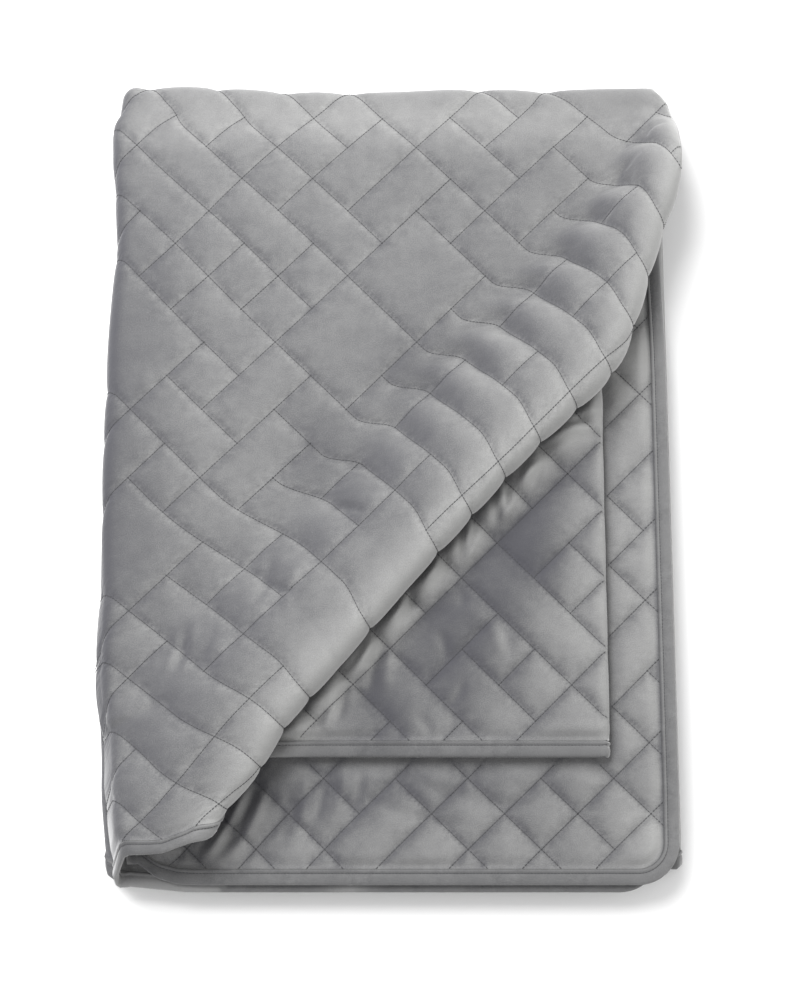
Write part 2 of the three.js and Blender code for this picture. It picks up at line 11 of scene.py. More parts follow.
import bpy
import numpy as np
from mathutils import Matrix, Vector


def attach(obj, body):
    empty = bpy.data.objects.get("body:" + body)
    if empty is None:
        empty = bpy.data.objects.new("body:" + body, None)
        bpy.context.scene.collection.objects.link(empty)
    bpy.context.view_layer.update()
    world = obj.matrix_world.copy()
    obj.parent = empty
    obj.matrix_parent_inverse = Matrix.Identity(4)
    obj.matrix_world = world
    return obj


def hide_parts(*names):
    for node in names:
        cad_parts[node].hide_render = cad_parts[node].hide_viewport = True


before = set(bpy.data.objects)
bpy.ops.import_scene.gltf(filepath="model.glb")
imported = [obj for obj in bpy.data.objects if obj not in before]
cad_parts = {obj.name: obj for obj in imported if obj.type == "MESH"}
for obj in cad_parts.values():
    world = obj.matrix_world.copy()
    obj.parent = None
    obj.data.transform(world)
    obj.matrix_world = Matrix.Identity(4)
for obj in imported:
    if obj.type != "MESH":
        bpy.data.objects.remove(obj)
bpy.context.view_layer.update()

MM = 0.001

# Flat bedspread, binding included
SHEET_WIDTH = 2465.0
SHEET_LENGTH = 1800.0
CORNER_RADIUS = 45.0
BINDING_WIDTH = 17.0
PIECE_GAP = 0.3

# Thickness, from the middle of the cloth
BACK_HALF = 2.0
FACE_PRESSED = 2.4
FACE_SEAM = 1.4
FACE_LEAST = 0.3
ROLL_CROWN = 3.6
FACE_CROWN = 5.0
LOOSE_CROWN = 8.6
EDGE_HALF = 1.7
EDGE_FADE = 14.0

# Fold across the width. Each leaf is a flat run at its own level in the pile, counted in layers
# from the middle of the long fold, and a half round turn joins it to the next.
LAYER_PITCH = 8.0
LEAVES = (
    SimpleNamespace(name="base", level=0.5, heading=-1, run=586.0),
    SimpleNamespace(name="top", level=3.5, heading=1, run=608.0),
    SimpleNamespace(name="inner", level=2.5, heading=-1, run=606.0),
    SimpleNamespace(name="shown", level=1.5, heading=1, run=602.0),
)
LEFT_TURN_X = -308.0
PILE_MIDDLE = np.array((-4.91, 6.73, 0.0))

# Long fold, at the far edge of the pile, a little off the middle of the length. The layers are squeezed
# together in it and open out to their full pitch beyond it.
LONG_FOLD_V = SHEET_LENGTH / 2 + 3.0
LONG_FOLD_Y = 444.0
LONG_FOLD_Z = FACE_PRESSED + max(leaf.level for leaf in LEAVES) * LAYER_PITCH
FOLD_SQUEEZE = 0.7
FOLD_OPENS = 70.0

# Pleat in the top and inner leaves: they rise to a roll, turn under it, and turn back again.
# Its crease slants from the pleat's own direction, and turns softly at places down the roll.
PLEAT_POINT = (215.0, 120.0)
PLEAT_ANGLE = math.radians(48.8)
PLEAT_SLANT = 0.4
PLEAT_TURNS = (
    SimpleNamespace(down=0.0, slant=-0.494),
    SimpleNamespace(down=160.0, slant=0.094),
    SimpleNamespace(down=570.0, slant=0.22),
)
TURN_SOFTNESS = 16.0
PLEAT_TAKE_UP = 143.0
ROLL_RADIUS = 16.0
RETURN_RADIUS = 8.0
RAMP = SimpleNamespace(foot=128.0, narrows=0.4, least=62.0, softness=0.55)
LOWER_RAMP = SimpleNamespace(starts=260.0, full=560.0, foot=175.0, softness=0.8, drag_reach=130.0)
SCALLOP = 0.2
DRAG_ON_ROLL = 23.0
DRAG_REACH = 22.0
DRAG_UNDER_ROLL = 13.0
LIP = SimpleNamespace(start=-35.0, end=20.0, drag=-14.0)
LOWER_LIP = SimpleNamespace(start=-80.0, end=10.0, drag=22.0, starts=400.0, full=640.0)
LIP_TUCK = SimpleNamespace(start=-70.0, end=10.0, reach=75.0, draw=15.0)
FAR_BOW = SimpleNamespace(start=300.0, height=6.0, level=0.35)
RISE_FADES = (LONG_FOLD_Y - 115.0, LONG_FOLD_Y + 5.0)
LOWER_END = SimpleNamespace(start=550.0, end=790.0, rise=0.85)
ROLL_RISE = 2 * (ROLL_RADIUS + RETURN_RADIUS)
ROLL_LENGTH = math.pi * ROLL_RADIUS
RETURN_LENGTH = math.pi * RETURN_RADIUS
TUCK_DEPTH = (PLEAT_TAKE_UP - ROLL_LENGTH - RETURN_LENGTH) / 2
RETURN_START = ROLL_LENGTH + TUCK_DEPTH
RETURN_END = RETURN_START + RETURN_LENGTH
ACROSS_PLEAT = np.array((math.sin(PLEAT_ANGLE), -math.cos(PLEAT_ANGLE)))
DOWN_PLEAT = np.array((-math.cos(PLEAT_ANGLE), -math.sin(PLEAT_ANGLE)))


class Side(NamedTuple):
    """How far to the right of straight the sides lie, at a place along the pile: both of the upper half,
    and the left one of the lower half."""
    y: float
    left: float
    right: float
    under: float


SIDES = (
    Side(464.0, 1.0, -8.0, -5.0),
    Side(440.0, -2.0, 4.0, -8.0),
    Side(412.0, -12.0, 6.0, -13.0),
    Side(380.0, -10.0, 4.0, -8.0),
    Side(270.0, -2.0, 0.0, -3.0),
    Side(130.0, -8.0, 3.0, -10.0),
    Side(-110.0, -9.0, 3.0, -9.0),
    Side(-220.0, -12.0, 3.0, -12.0),
    Side(-330.0, 2.0, 3.0, -6.0),
    Side(-430.0, 14.0, 2.0, 2.0),
)
SIDE_BLEND = 10.0
FAR_CORNER = (LONG_FOLD_Y - 8.0, LONG_FOLD_Y + 6.0)

# Quilting: square units on the bias, joined into blocks as charted. One letter is one block.
UNIT = 55.0
BIAS = UNIT * math.sqrt(2)
CHART = (
    "AABCCDEE",
    "FGGHHIIJ",
    "lKLHHMNN",
    "OKLPQQRS",
    "TTUUVWWX",
    "TTYZVabb",
    "cddZeeef",
    "kghCCijj",
    "AABCCDEE",
    "FGGHHIIJ",
    "OKLHHMNO",
    "OKLPQQRO",
    "TTUUVWWT",
    "TTYZVabT",
    "cddZeeef",
    "kghCCijj",
)
CHART_ORIGIN = (1027.0, 427.0)
LINES_PER_UNIT = 20
LINE_STEP = BIAS / LINES_PER_UNIT
UNDER_SHIFT = 6 * LINE_STEP
SHOWN_SHIFT = 8 * LINE_STEP
UNDER_SEAM = 4
LINE_SLACK = 0.25 / LINES_PER_UNIT
ROUNDING = 1e-6
SEAM_REACH = 8.0
LOOSE_SEAM_REACH = 12.0
SEAM_NOTCH = SimpleNamespace(depth=0.9, reach=2.2)
TIGHT_REACH = 30.0
STRIPS = SimpleNamespace(crown=2.2, fade=45.0, upper_ends=80.0, lower_starts=290.0, lower_share=0.3)


def smooth(low, high, value):
    """Soft step, from 0 at `low` to 1 at `high`."""
    share = np.clip((value - low) / (high - low), 0, 1)
    return share * share * (3 - 2 * share)


def mix(one, other, share):
    """Value that lies a share of the way from one to the other."""
    return one + (other - one) * share


# The fold

def width_stretches():
    """Runs of the width and the turns between them, in order."""
    stretches = []
    u = 0.0
    x = LEFT_TURN_X + LEAVES[0].run
    for k, leaf in enumerate(LEAVES):
        height = leaf.level * LAYER_PITCH
        stretches.append(SimpleNamespace(
            name=leaf.name, turn=False, start=u, end=u + leaf.run, x=x,
            heading=leaf.heading, height=height))
        u += leaf.run
        x += leaf.heading * leaf.run
        if k + 1 < len(LEAVES):
            after = LEAVES[k + 1]
            middle = (leaf.level + after.level) / 2 * LAYER_PITCH
            radius = abs(leaf.level - after.level) / 2 * LAYER_PITCH
            stretches.append(SimpleNamespace(
                name=f"{leaf.name}_{after.name}", turn=True, start=u, end=u + math.pi * radius, x=x,
                heading=leaf.heading, middle=middle, radius=radius, rise=height - middle))
            u += math.pi * radius
    return stretches


STRETCHES = width_stretches()
STRETCH = {stretch.name: stretch for stretch in STRETCHES}
TOP = STRETCH["top"]
SHOWN = STRETCH["shown"]
LEFT_TURN = STRETCH["base_top"]
RIGHT_TURN = STRETCH["top_inner"]
INNER = STRETCH["inner"]
PLEATED_MIDDLE = RIGHT_TURN.middle

# Near edge of the upper half: places across the sheet, and how far each is drawn in
LIFTS = (
    (LEFT_TURN.start - 70.0, 5.0),
    (LEFT_TURN.start - 5.0, 11.0),
    (TOP.start + 5.0, 0.0),
    (TOP.start + 35.0, -9.0),
    (TOP.start + 60.0, -9.0),
    (TOP.start + 105.0, 0.0),
    (RIGHT_TURN.start, 0.0),
    (RIGHT_TURN.end, 8.0),
    (INNER.end - 90.0, 9.0),
    (INNER.end - 30.0, 24.0),
    (SHOWN.start + 12.0, 26.0),
    (SHOWN.start + 32.0, 11.0),
    (SHOWN.start + 55.0, 5.0),
    (SHOWN.start + 75.0, 4.0),
)
LIFT_REACH = 160.0

# Near edge of the lower half in the same way
LOWER_LIFTS = (
    (LEFT_TURN.start - 70.0, 5.0),
    (LEFT_TURN.start - 10.0, 11.0),
    (LEFT_TURN.end + 10.0, 11.0),
    (LEFT_TURN.end + 70.0, 5.0),
)


def across(u):
    """Place across the pile, and height above the middle of the long fold."""
    x = np.zeros_like(u)
    h = np.zeros_like(u)
    for stretch in STRETCHES:
        here = (u >= stretch.start) | (stretch is STRETCHES[0])
        along = u - stretch.start
        if stretch.turn:
            angle = np.clip(along / stretch.radius, 0, math.pi)
            x = np.where(here, stretch.x + stretch.heading * stretch.radius * np.sin(angle), x)
            h = np.where(here, stretch.middle + stretch.rise * np.cos(angle), h)
        else:
            x = np.where(here, stretch.x + stretch.heading * along, x)
            h = np.where(here, stretch.height, h)
    return x, h


def unpleated(u, v):
    """Place in the pile before the pleat, height above the long fold's middle, and whether it is on top."""
    x, h = across(u)
    from_fold = v - LONG_FOLD_V
    tight = FOLD_SQUEEZE * h
    bend = math.pi / 2 * tight
    angle = np.clip(from_fold / tight, -math.pi / 2, math.pi / 2)
    beyond = np.maximum(np.abs(from_fold) - bend, 0)
    y = LONG_FOLD_Y + tight * np.cos(angle) - beyond
    z = LONG_FOLD_Z - h * squeeze_at(y) * np.sin(angle)
    return x, y, z, h, from_fold < -bend


def squeeze_at(y):
    """Share of their full pitch that the layers keep, at a distance from the long fold."""
    return mix(FOLD_SQUEEZE, 1, smooth(0, FOLD_OPENS, LONG_FOLD_Y - y))


def pleat_coordinates(x, y):
    """How far beyond the start of the roll a place lies, and how far along the roll to its lower end."""
    dx = x - PLEAT_POINT[0]
    dy = y - PLEAT_POINT[1]
    down = dx * DOWN_PLEAT[0] + dy * DOWN_PLEAT[1]
    crease = PLEAT_SLANT * down
    for turn in PLEAT_TURNS:
        crease = crease + turn.slant * TURN_SOFTNESS * np.logaddexp(0, (down - turn.down) / TURN_SOFTNESS)
    return dx * ACROSS_PLEAT[0] + dy * ACROSS_PLEAT[1] - crease, down


def pleat_section(past):
    """Section of the pleat for the middle of its two leaves: place across the roll, height, and normal."""
    roll = past / ROLL_RADIUS
    back = (past - RETURN_START) / RETURN_RADIUS
    stages = (past < ROLL_LENGTH, past < RETURN_START, past < RETURN_END)
    still = np.ones_like(past)
    place = np.select(stages, (
        ROLL_RADIUS * np.sin(roll), ROLL_LENGTH - past, -TUCK_DEPTH - RETURN_RADIUS * np.sin(back),
    ), past - PLEAT_TAKE_UP)
    height = np.select(stages, (
        ROLL_RISE - ROLL_RADIUS * (1 - np.cos(roll)), 2 * RETURN_RADIUS * still,
        RETURN_RADIUS * (1 + np.cos(back)),
    ), 0)
    lean = np.select(stages, (np.sin(roll), 0 * still, np.sin(back)), 0)
    stand = np.select(stages, (np.cos(roll), -still, -np.cos(back)), 1)
    return place, height, lean, stand


def upper_strips(down):
    """How strongly the slope is parted into strips, from 1 at its upper end."""
    return mix(1, STRIPS.lower_share, smooth(STRIPS.upper_ends, STRIPS.lower_starts, down))


def lower_ramp(down):
    """1 at the lower end of the slope, which is broad and soft."""
    return smooth(LOWER_RAMP.starts, LOWER_RAMP.full, down)


def foot_width(down):
    """How far before the roll the slope up to it starts: it narrows towards the far end."""
    upper = np.maximum(RAMP.foot + RAMP.narrows * np.minimum(down, 0), RAMP.least)
    return mix(upper, LOWER_RAMP.foot, lower_ramp(down))


def ramp(past, down, middle):
    """Share of the roll's rise on the slope up to it: a dome whose soft foot reaches out in mid strip."""
    reach = foot_width(down) * (1 + SCALLOP * middle * upper_strips(down))
    share = np.clip(1 + past / reach, 0, 1)
    softness = mix(RAMP.softness, LOWER_RAMP.softness, lower_ramp(down))
    return np.sin(math.pi / 2 * share) * smooth(0, softness, share)


def drag_along(past, down):
    """How far the slope, the roll's lip and the cloth under it are dragged up along the roll."""
    reach = mix(DRAG_REACH, LOWER_RAMP.drag_reach, lower_ramp(down))
    upwards = DRAG_ON_ROLL * smooth(-reach, reach, past + foot_width(down))
    beneath = smooth(ROLL_LENGTH, RETURN_END, past)
    at_lip = LIP.drag * smooth(LIP.start, LIP.end, past)
    at_lower_lip = LOWER_LIP.drag * smooth(LOWER_LIP.start, LOWER_LIP.end, past)
    lip = mix(at_lip, at_lower_lip, smooth(LOWER_LIP.starts, LOWER_LIP.full, down))
    return upwards + lip * (1 - beneath) + DRAG_UNDER_ROLL * beneath


def side_at(column, y):
    """How far one side of the pile lies to the right of straight."""
    rows = SIDES[::-1]
    value = np.full_like(y, getattr(rows[0], column))
    for low, high in zip(rows, rows[1:]):
        between = mix(getattr(low, column), getattr(high, column), smooth(low.y, high.y, y))
        value = np.where(y > low.y, between, value)
    return value


def mid_strip(u, v):
    """Share of the way from a strip's seams to its middle, on the top leaf."""
    _, j = bias(u, v)
    on_top = (u > LEFT_TURN.start) & (u < TOP.end)
    return np.where(on_top, np.sin(math.pi * j) ** 2, 0)


def edge_lift(u, v):
    """How far the near edges of the two halves are drawn in."""
    upper = np.interp(u, *zip(*LIFTS))
    lower = np.interp(u, *zip(*LOWER_LIFTS))
    near_upper = 1 - smooth(0, LIFT_REACH, v)
    near_lower = smooth(SHEET_LENGTH - LIFT_REACH, SHEET_LENGTH, v)
    return upper * near_upper + lower * near_lower


def lip_tuck(past, v):
    """How far the near corner of the roll's lip is drawn in."""
    on_lip = smooth(LIP_TUCK.start, LIP_TUCK.end, past) * (1 - smooth(ROLL_LENGTH, RETURN_START, past))
    return LIP_TUCK.draw * on_lip * (1 - smooth(0, LIP_TUCK.reach, v))


def far_bow(x, y):
    """How far the far edge is bowed: its corners lie further out than its middle."""
    return FAR_BOW.height * ((x / LEFT_TURN_X) ** 2 - FAR_BOW.level) * smooth(FAR_BOW.start, LONG_FOLD_Y, y)


def folded(u, v):
    """Middle of the folded cloth at places in the flat sheet, as rows of x, y, z."""
    x, y, z, h, upper = unpleated(u, v)
    share = np.where(upper, smooth(SHOWN.height, INNER.height, h), 0)
    past, down = pleat_coordinates(x, y)
    lower = mix(1, LOWER_END.rise, smooth(LOWER_END.start, LOWER_END.end, down))
    full = share * lower * (1 - smooth(*RISE_FADES, y))
    drag = full * drag_along(past, down)
    place, height, lean, stand = pleat_section(past)
    above = h - PLEATED_MIDDLE
    rolled = (past > 0) & (share > 0)
    shift = np.where(rolled, place + above * lean - past, 0)
    slope = z + full * ROLL_RISE * ramp(past, down, mid_strip(u, v))
    laid = LONG_FOLD_Z + squeeze_at(y) * (PLEATED_MIDDLE + above * stand) + full * height
    z = np.where(rolled, laid, slope)
    x = x + shift * ACROSS_PLEAT[0] - drag * DOWN_PLEAT[0]
    y = y + shift * ACROSS_PLEAT[1] - drag * DOWN_PLEAT[1]
    tuck = share * lip_tuck(past, v)
    x = x - tuck * ACROSS_PLEAT[0]
    y = y - tuck * ACROSS_PLEAT[1] + edge_lift(u, v) + far_bow(x, y)
    upper_half = smooth(-SIDE_BLEND, SIDE_BLEND, z - LONG_FOLD_Z)
    left = mix(side_at("under", y), side_at("left", y), upper_half)
    right = np.maximum(upper_half, smooth(*FAR_CORNER, y)) * side_at("right", y)
    sway = np.where(x < 0, left, right)
    x = x + smooth(0, -LEFT_TURN_X, np.abs(x)) * sway
    return np.stack((x, y, z), axis=-1) - PILE_MIDDLE


def folded_normal(u, v, probe=0.05):
    """Normal of the folded cloth, out of its face."""
    du = folded(u + probe, v) - folded(u - probe, v)
    dv = folded(u, v + probe) - folded(u, v - probe)
    normal = np.cross(du, dv)
    return normal / np.linalg.norm(normal, axis=-1, keepdims=True)


def cloth_points(u, v, out):
    """Points of the folded cloth, `out` from its middle towards the face."""
    return folded(u, v) + folded_normal(u, v) * out[..., None]


# The quilting

def block_reaches():
    """For each charted unit, how many more units its block goes on, below and above it along i and j."""
    rows = len(CHART)
    columns = len(CHART[0])
    reaches = np.zeros((rows, columns, 4))
    ways = ((-1, 0), (1, 0), (0, -1), (0, 1))
    for j in range(rows):
        for i in range(columns):
            for n, (step_i, step_j) in enumerate(ways):
                units = 1
                while CHART[(j + units * step_j) % rows][(i + units * step_i) % columns] == CHART[j][i]:
                    units += 1
                reaches[j, i, n] = units - 1
    return reaches


BLOCK_REACHES = block_reaches()


def under_roll(u, v):
    """Whether a place is on the top leaf beyond the roll."""
    x, y, _, _, upper = unpleated(u, v)
    past, _ = pleat_coordinates(x, y)
    return upper & (u < RIGHT_TURN.end) & (past > RETURN_START)


def chart_shift(u, v):
    """How far the chart is moved on: the looser leaves are drawn further in."""
    return np.where(u > SHOWN.start, SHOWN_SHIFT, np.where(under_roll(u, v), UNDER_SHIFT, 0))


def bias(u, v):
    """Place in the chart, in units along i and j."""
    du = u - CHART_ORIGIN[0] + chart_shift(u, v)
    dv = v - CHART_ORIGIN[1]
    return (du - dv) / BIAS, (du + dv) / BIAS


def seam_distances(u, v):
    """Distance to the nearest seam each way, across i and across j."""
    i, j = bias(u, v)
    whole_i = np.floor(i + ROUNDING)
    whole_j = np.floor(j + ROUNDING)
    low_i, high_i, low_j, high_j = np.moveaxis(
        BLOCK_REACHES[whole_j.astype(int) % len(CHART), whole_i.astype(int) % len(CHART[0])], -1, 0)
    part_i = np.clip(i - whole_i, 0, 1)
    part_j = np.clip(j - whole_j, 0, 1)
    from_i = np.minimum(low_i + part_i, high_i + 1 - part_i)
    from_j = np.minimum(low_j + part_j, high_j + 1 - part_j)
    under = under_roll(u, v)
    from_i = np.where(under, np.minimum(from_i, np.abs(i - UNDER_SEAM)), from_i)
    from_j = np.where(under & (i < UNDER_SEAM), np.minimum(part_j, 1 - part_j), from_j)
    from_i = np.where(u > SHOWN.start, np.minimum(part_i, 1 - part_i), from_i)
    return from_i * UNIT, from_j * UNIT


def fullness(u, v):
    """Fullness of the wadding, from 0 on a seam to 1 inside a large block."""
    from_i, from_j = seam_distances(u, v)
    reach = mix(SEAM_REACH, LOOSE_SEAM_REACH, beyond_pleat(u, v))
    return (1 - np.exp(-from_i / reach)) * (1 - np.exp(-from_j / reach))


# Where another layer presses on the face
COVER_FADE = 25.0
TURN_FADE = 8.0
FAR_FADE = SimpleNamespace(start=LONG_FOLD_V + 22.0, end=LONG_FOLD_V + 44.0)
ROLL_COVERED_FROM = 0.6 * ROLL_LENGTH
BESIDE_ROLL = SimpleNamespace(start=ROLL_RADIUS - 6.0, end=ROLL_RADIUS + 14.0)
INSIDE_TURN = 1.0


def covered_corner():
    """Corner of the pleated top leaf that lies on the shown leaf."""
    return folded(np.array([TOP.end - INSIDE_TURN]), np.array([0.0]))[0] + PILE_MIDDLE


COVERED = covered_corner()


def open_share(u, v):
    """Share of its fullness that the face keeps: none where another layer presses on it."""
    near_half = 1 - smooth(FAR_FADE.start, FAR_FADE.end, v)
    x, y, _, _, _ = unpleated(u, v)
    past, _ = pleat_coordinates(x, y)
    before = 1 - smooth(ROLL_COVERED_FROM, ROLL_LENGTH, past)
    after = smooth(BESIDE_ROLL.start, BESIDE_ROLL.end, past - PLEAT_TAKE_UP)
    on_top = smooth(LEFT_TURN.start, TOP.start, u) * np.maximum(before, after)
    on_top = on_top * (1 - smooth(RIGHT_TURN.start - TURN_FADE, RIGHT_TURN.start + TURN_FADE, u))
    right = smooth(COVERED[0], COVERED[0] + COVER_FADE, x)
    near = 1 - smooth(COVERED[1] - COVER_FADE, COVERED[1], y)
    on_shown = np.where(u > SHOWN.start, np.maximum(right, near), 0)
    return near_half * np.maximum(on_top, on_shown)


def from_edge(u, v):
    """Distance in from the sewn edge of the panel."""
    du = np.abs(u - SHEET_WIDTH / 2) - (SHEET_WIDTH / 2 - CORNER_RADIUS)
    dv = np.abs(v - SHEET_LENGTH / 2) - (SHEET_LENGTH / 2 - CORNER_RADIUS)
    beyond = np.hypot(np.maximum(du, 0), np.maximum(dv, 0)) + np.minimum(np.maximum(du, dv), 0)
    return CORNER_RADIUS - BINDING_WIDTH - beyond


def puff(u, v):
    """Extra height of the strips on the slope and the roll, between the seams that cross them."""
    x, y, _, _, upper = unpleated(u, v)
    past, down = pleat_coordinates(x, y)
    on_slope = smooth(0, STRIPS.fade, past + foot_width(down)) * (1 - smooth(0, ROLL_LENGTH, past))
    _, j = bias(u, v)
    crown = 1 - (2 * np.mod(j, 1) - 1) ** 2
    on_top = upper & (u > LEFT_TURN.start) & (u < TOP.end)
    return np.where(on_top, STRIPS.crown * upper_strips(down) * on_slope * crown, 0)


def on_roll(u, v):
    """1 on the roll, where the cloth is drawn tight over it."""
    x, y, _, _, upper = unpleated(u, v)
    past, _ = pleat_coordinates(x, y)
    tight = smooth(-TIGHT_REACH, 0, past) * (1 - smooth(ROLL_LENGTH, RETURN_START, past))
    return np.where(upper & (u < RIGHT_TURN.end), tight, 0)


def beyond_pleat(u, v):
    """1 on the looser cloth: the leaf under the roll and the leaf that shows below it."""
    x, y, _, _, _ = unpleated(u, v)
    past, _ = pleat_coordinates(x, y)
    return np.where((u > SHOWN.start) | (past > RETURN_END), 1.0, 0.0)


def seam_notch(u, v):
    """Narrow groove that the thread draws along each seam."""
    return SEAM_NOTCH.depth * np.exp(-np.minimum(*seam_distances(u, v)) / SEAM_NOTCH.reach)


# Cloth pushed up into a soft ridge beside the roll, on the leaf under it
LOOSE_RIDGE = SimpleNamespace(middle=34.0, reach=17.0, height=8.5, pinch=0.55, sharpness=4)


class Crease(NamedTuple):
    """A soft ridge, or a trough if its height is below 0, from one place on the pile to another. The bow is
    how far its middle lies to the left of the line between them."""
    start: tuple
    end: tuple
    bow: float
    reach: float
    height: float


# Main creases of each leaf that shows
CREASES = {
    "under": (
        Crease((224, 67), (186, 57), -3, 5, 4.0),
        Crease((222, 58), (180, 48), -3, 4, -3.0),
        Crease((222, 48), (170, 36), -4, 5, 4.0),
        Crease((214, 37), (164, 24), -3, 5, -2.5),
        Crease((134, -7), (147, 10), 2, 5, -5.0),
        Crease((138, -19), (152, 2), 2, 4, 3.5),
        Crease((152, -17), (161, 3), 2, 5, -3.0),
        Crease((114, -17), (117, -55), 2, 4, 4.5),
        Crease((129, -28), (119, -54), 2, 4, 4.0),
        Crease((122, -21), (118, -43), 1, 4, -4.5),
        Crease((104, -30), (110, -60), 2, 5, -4.0),
        Crease((79, -58), (77, -90), 2, 4, 4.5),
        Crease((90, -68), (77, -101), 2, 4, 3.5),
        Crease((70, -66), (69, -95), 2, 5, -4.5),
        Crease((84, -65), (78, -90), 1, 4, -4.0),
        Crease((46, -95), (31, -123), 2, 4, 4.5),
        Crease((37, -94), (24, -121), 2, 5, -4.5),
        Crease((55, -101), (43, -130), 2, 5, -3.0),
        Crease((9, -138), (-5, -167), 2, 4, 4.0),
        Crease((18, -138), (6, -167), 2, 5, -3.5),
        Crease((-27, -183), (-40, -213), 2, 4, 4.0),
        Crease((-18, -187), (-28, -213), 2, 5, -3.5),
        Crease((-25, -180), (-55, -220), 3, 6, -5.0),
        Crease((-82, -243), (-104, -267), -3, 5, -4.0),
        Crease((72, -232), (57, -260), 3, 5, -2.5),
        Crease((81, -155), (114, -199), 5, 8, 2.0),
        Crease((47, -181), (54, -209), 2, 6, -3.5),
        Crease((-17, -195), (-28, -245), -3, 7, -4.5),
        Crease((-3, -197), (-12, -239), -2, 6, 3.0),
        Crease((114, -171), (121, -204), 2, 7, -3.0),
        Crease((64, -129), (73, -151), 2, 6, -3.0),
        Crease((23, -269), (36, -291), 2, 6, -2.5),
        Crease((60, -269), (67, -291), 2, 6, -2.5),
        Crease((-68, -252), (-76, -282), 2, 5, 3.0),
        Crease((-56, -241), (-66, -276), 2, 5, -3.5),
    ),
    "shown": (
        Crease((-177, -352), (-212, -414), 3, 6, -4.0),
        Crease((-164, -350), (-200, -412), 3, 6, 5.0),
        Crease((-153, -348), (-188, -414), 3, 6, -5.0),
        Crease((-141, -350), (-172, -412), 3, 6, 4.0),
        Crease((-116, -352), (-123, -402), 3, 6, -2.5),
        Crease((-98, -340), (-106, -392), 2, 6, 3.0),
        Crease((-78, -332), (-86, -380), 2, 5, -3.0),
        Crease((-58, -328), (-66, -376), 2, 6, 3.0),
        Crease((-38, -328), (-45, -368), 2, 5, -2.5),
        Crease((14, -336), (133, -366), -6, 7, -2.5),
        Crease((-30, -356), (66, -386), -5, 8, -2.5),
        Crease((172, -326), (236, -336), 3, 6, -2.0),
    ),
    "top": (
        Crease((-238, -186), (-246, -222), 2, 5, 2.0),
        Crease((-227, -182), (-235, -222), 2, 4, -2.0),
        Crease((-217, -176), (-224, -220), 2, 5, 2.0),
        Crease((-197, -186), (-206, -226), -2, 5, -2.0),
        Crease((-325, -296), (-246, -258), 4, 5, -3.5),
        Crease((-322, -276), (-272, -266), -3, 5, 2.5),
        Crease((-60, 4), (-22, -5), 2, 4, -3.0),
        Crease((-72, -44), (-35, -54), 2, 4, -3.0),
        Crease((-135, -100), (-147, -148), 3, 6, -2.5),
        Crease((-104, -112), (-116, -155), -3, 7, 2.0),
        Crease((282, 411), (287, 388), 2, 4, -3.5),
        Crease((287, 393), (305, 400), 2, 4, -3.0),
        Crease((258, 389), (263, 376), 1, 4, -3.0),
        Crease((249, 333), (273, 359), 3, 5, -3.0),
        Crease((-139, -133), (-112, -143), 2, 4, -3.5),
        Crease((-62, -46), (-38, -49), 2, 4, -2.0),
    ),
}
CREASE_ENDS = 0.3

# Gentle unevenness of the flat parts: waves across the pile
WAVES = (
    SimpleNamespace(x=0.021, y=0.013, start=0.4, height=0.9),
    SimpleNamespace(x=-0.017, y=0.031, start=1.9, height=0.8),
    SimpleNamespace(x=0.043, y=-0.027, start=4.1, height=0.5),
)


def shown_leaves(u, v, past, upper):
    """Which leaf that shows each place is on: above the pleat, under the roll, or below both."""
    return {
        "top": (v < LONG_FOLD_V + FOLD_OPENS) & (u < RIGHT_TURN.end) & (past < ROLL_LENGTH),
        "under": upper & (u < RIGHT_TURN.end) & (past > RETURN_END),
        "shown": upper & (u > SHOWN.start),
    }


def loose_ridge(past):
    """Share of the height of the ridge beside the roll."""
    return np.exp(-((past - PLEAT_TAKE_UP - LOOSE_RIDGE.middle) / LOOSE_RIDGE.reach) ** 2)


def crease_height(row, x, y):
    """Height of one crease at places on the pile."""
    run_x = row.end[0] - row.start[0]
    run_y = row.end[1] - row.start[1]
    length = math.hypot(run_x, run_y)
    along = ((x - row.start[0]) * run_x + (y - row.start[1]) * run_y) / length ** 2
    aside = (run_x * (y - row.start[1]) - run_y * (x - row.start[0])) / length
    aside = aside - row.bow * 4 * along * (1 - along)
    ends = smooth(-CREASE_ENDS, CREASE_ENDS, along) * (1 - smooth(1 - CREASE_ENDS, 1 + CREASE_ENDS, along))
    return row.height * ends * np.exp(-(aside / row.reach) ** 2)


def creases(u, v):
    """Height of the creases and of the gentle unevenness."""
    x, y, _, _, upper = unpleated(u, v)
    past, _ = pleat_coordinates(x, y)
    _, j = bias(u, v)
    ridge = LOOSE_RIDGE.height * loose_ridge(past)
    ridge = ridge * (1 - LOOSE_RIDGE.pinch * np.cos(math.pi * j) ** LOOSE_RIDGE.sharpness)
    leaves = shown_leaves(u, v, past, upper)
    height = np.where(leaves["under"], ridge, 0)
    x, y, _ = np.moveaxis(folded(u, v), -1, 0)
    for wave in WAVES:
        height = height + wave.height * np.sin(wave.x * x + wave.y * y + wave.start)
    for leaf, rows in CREASES.items():
        for row in rows:
            height = height + np.where(leaves[leaf], crease_height(row, x, y), 0)
    return height


def face_half(u, v):
    """How far the face lies from the middle of the cloth."""
    crown = mix(FACE_CROWN, LOOSE_CROWN, beyond_pleat(u, v))
    crown = mix(crown, ROLL_CROWN, on_roll(u, v))
    quilted = mix(FACE_SEAM, crown, fullness(u, v)) + puff(u, v) + creases(u, v) - seam_notch(u, v)
    half = np.maximum(mix(FACE_PRESSED, quilted, open_share(u, v)), FACE_LEAST)
    return mix(EDGE_HALF, half, smooth(0, EDGE_FADE, from_edge(u, v)))


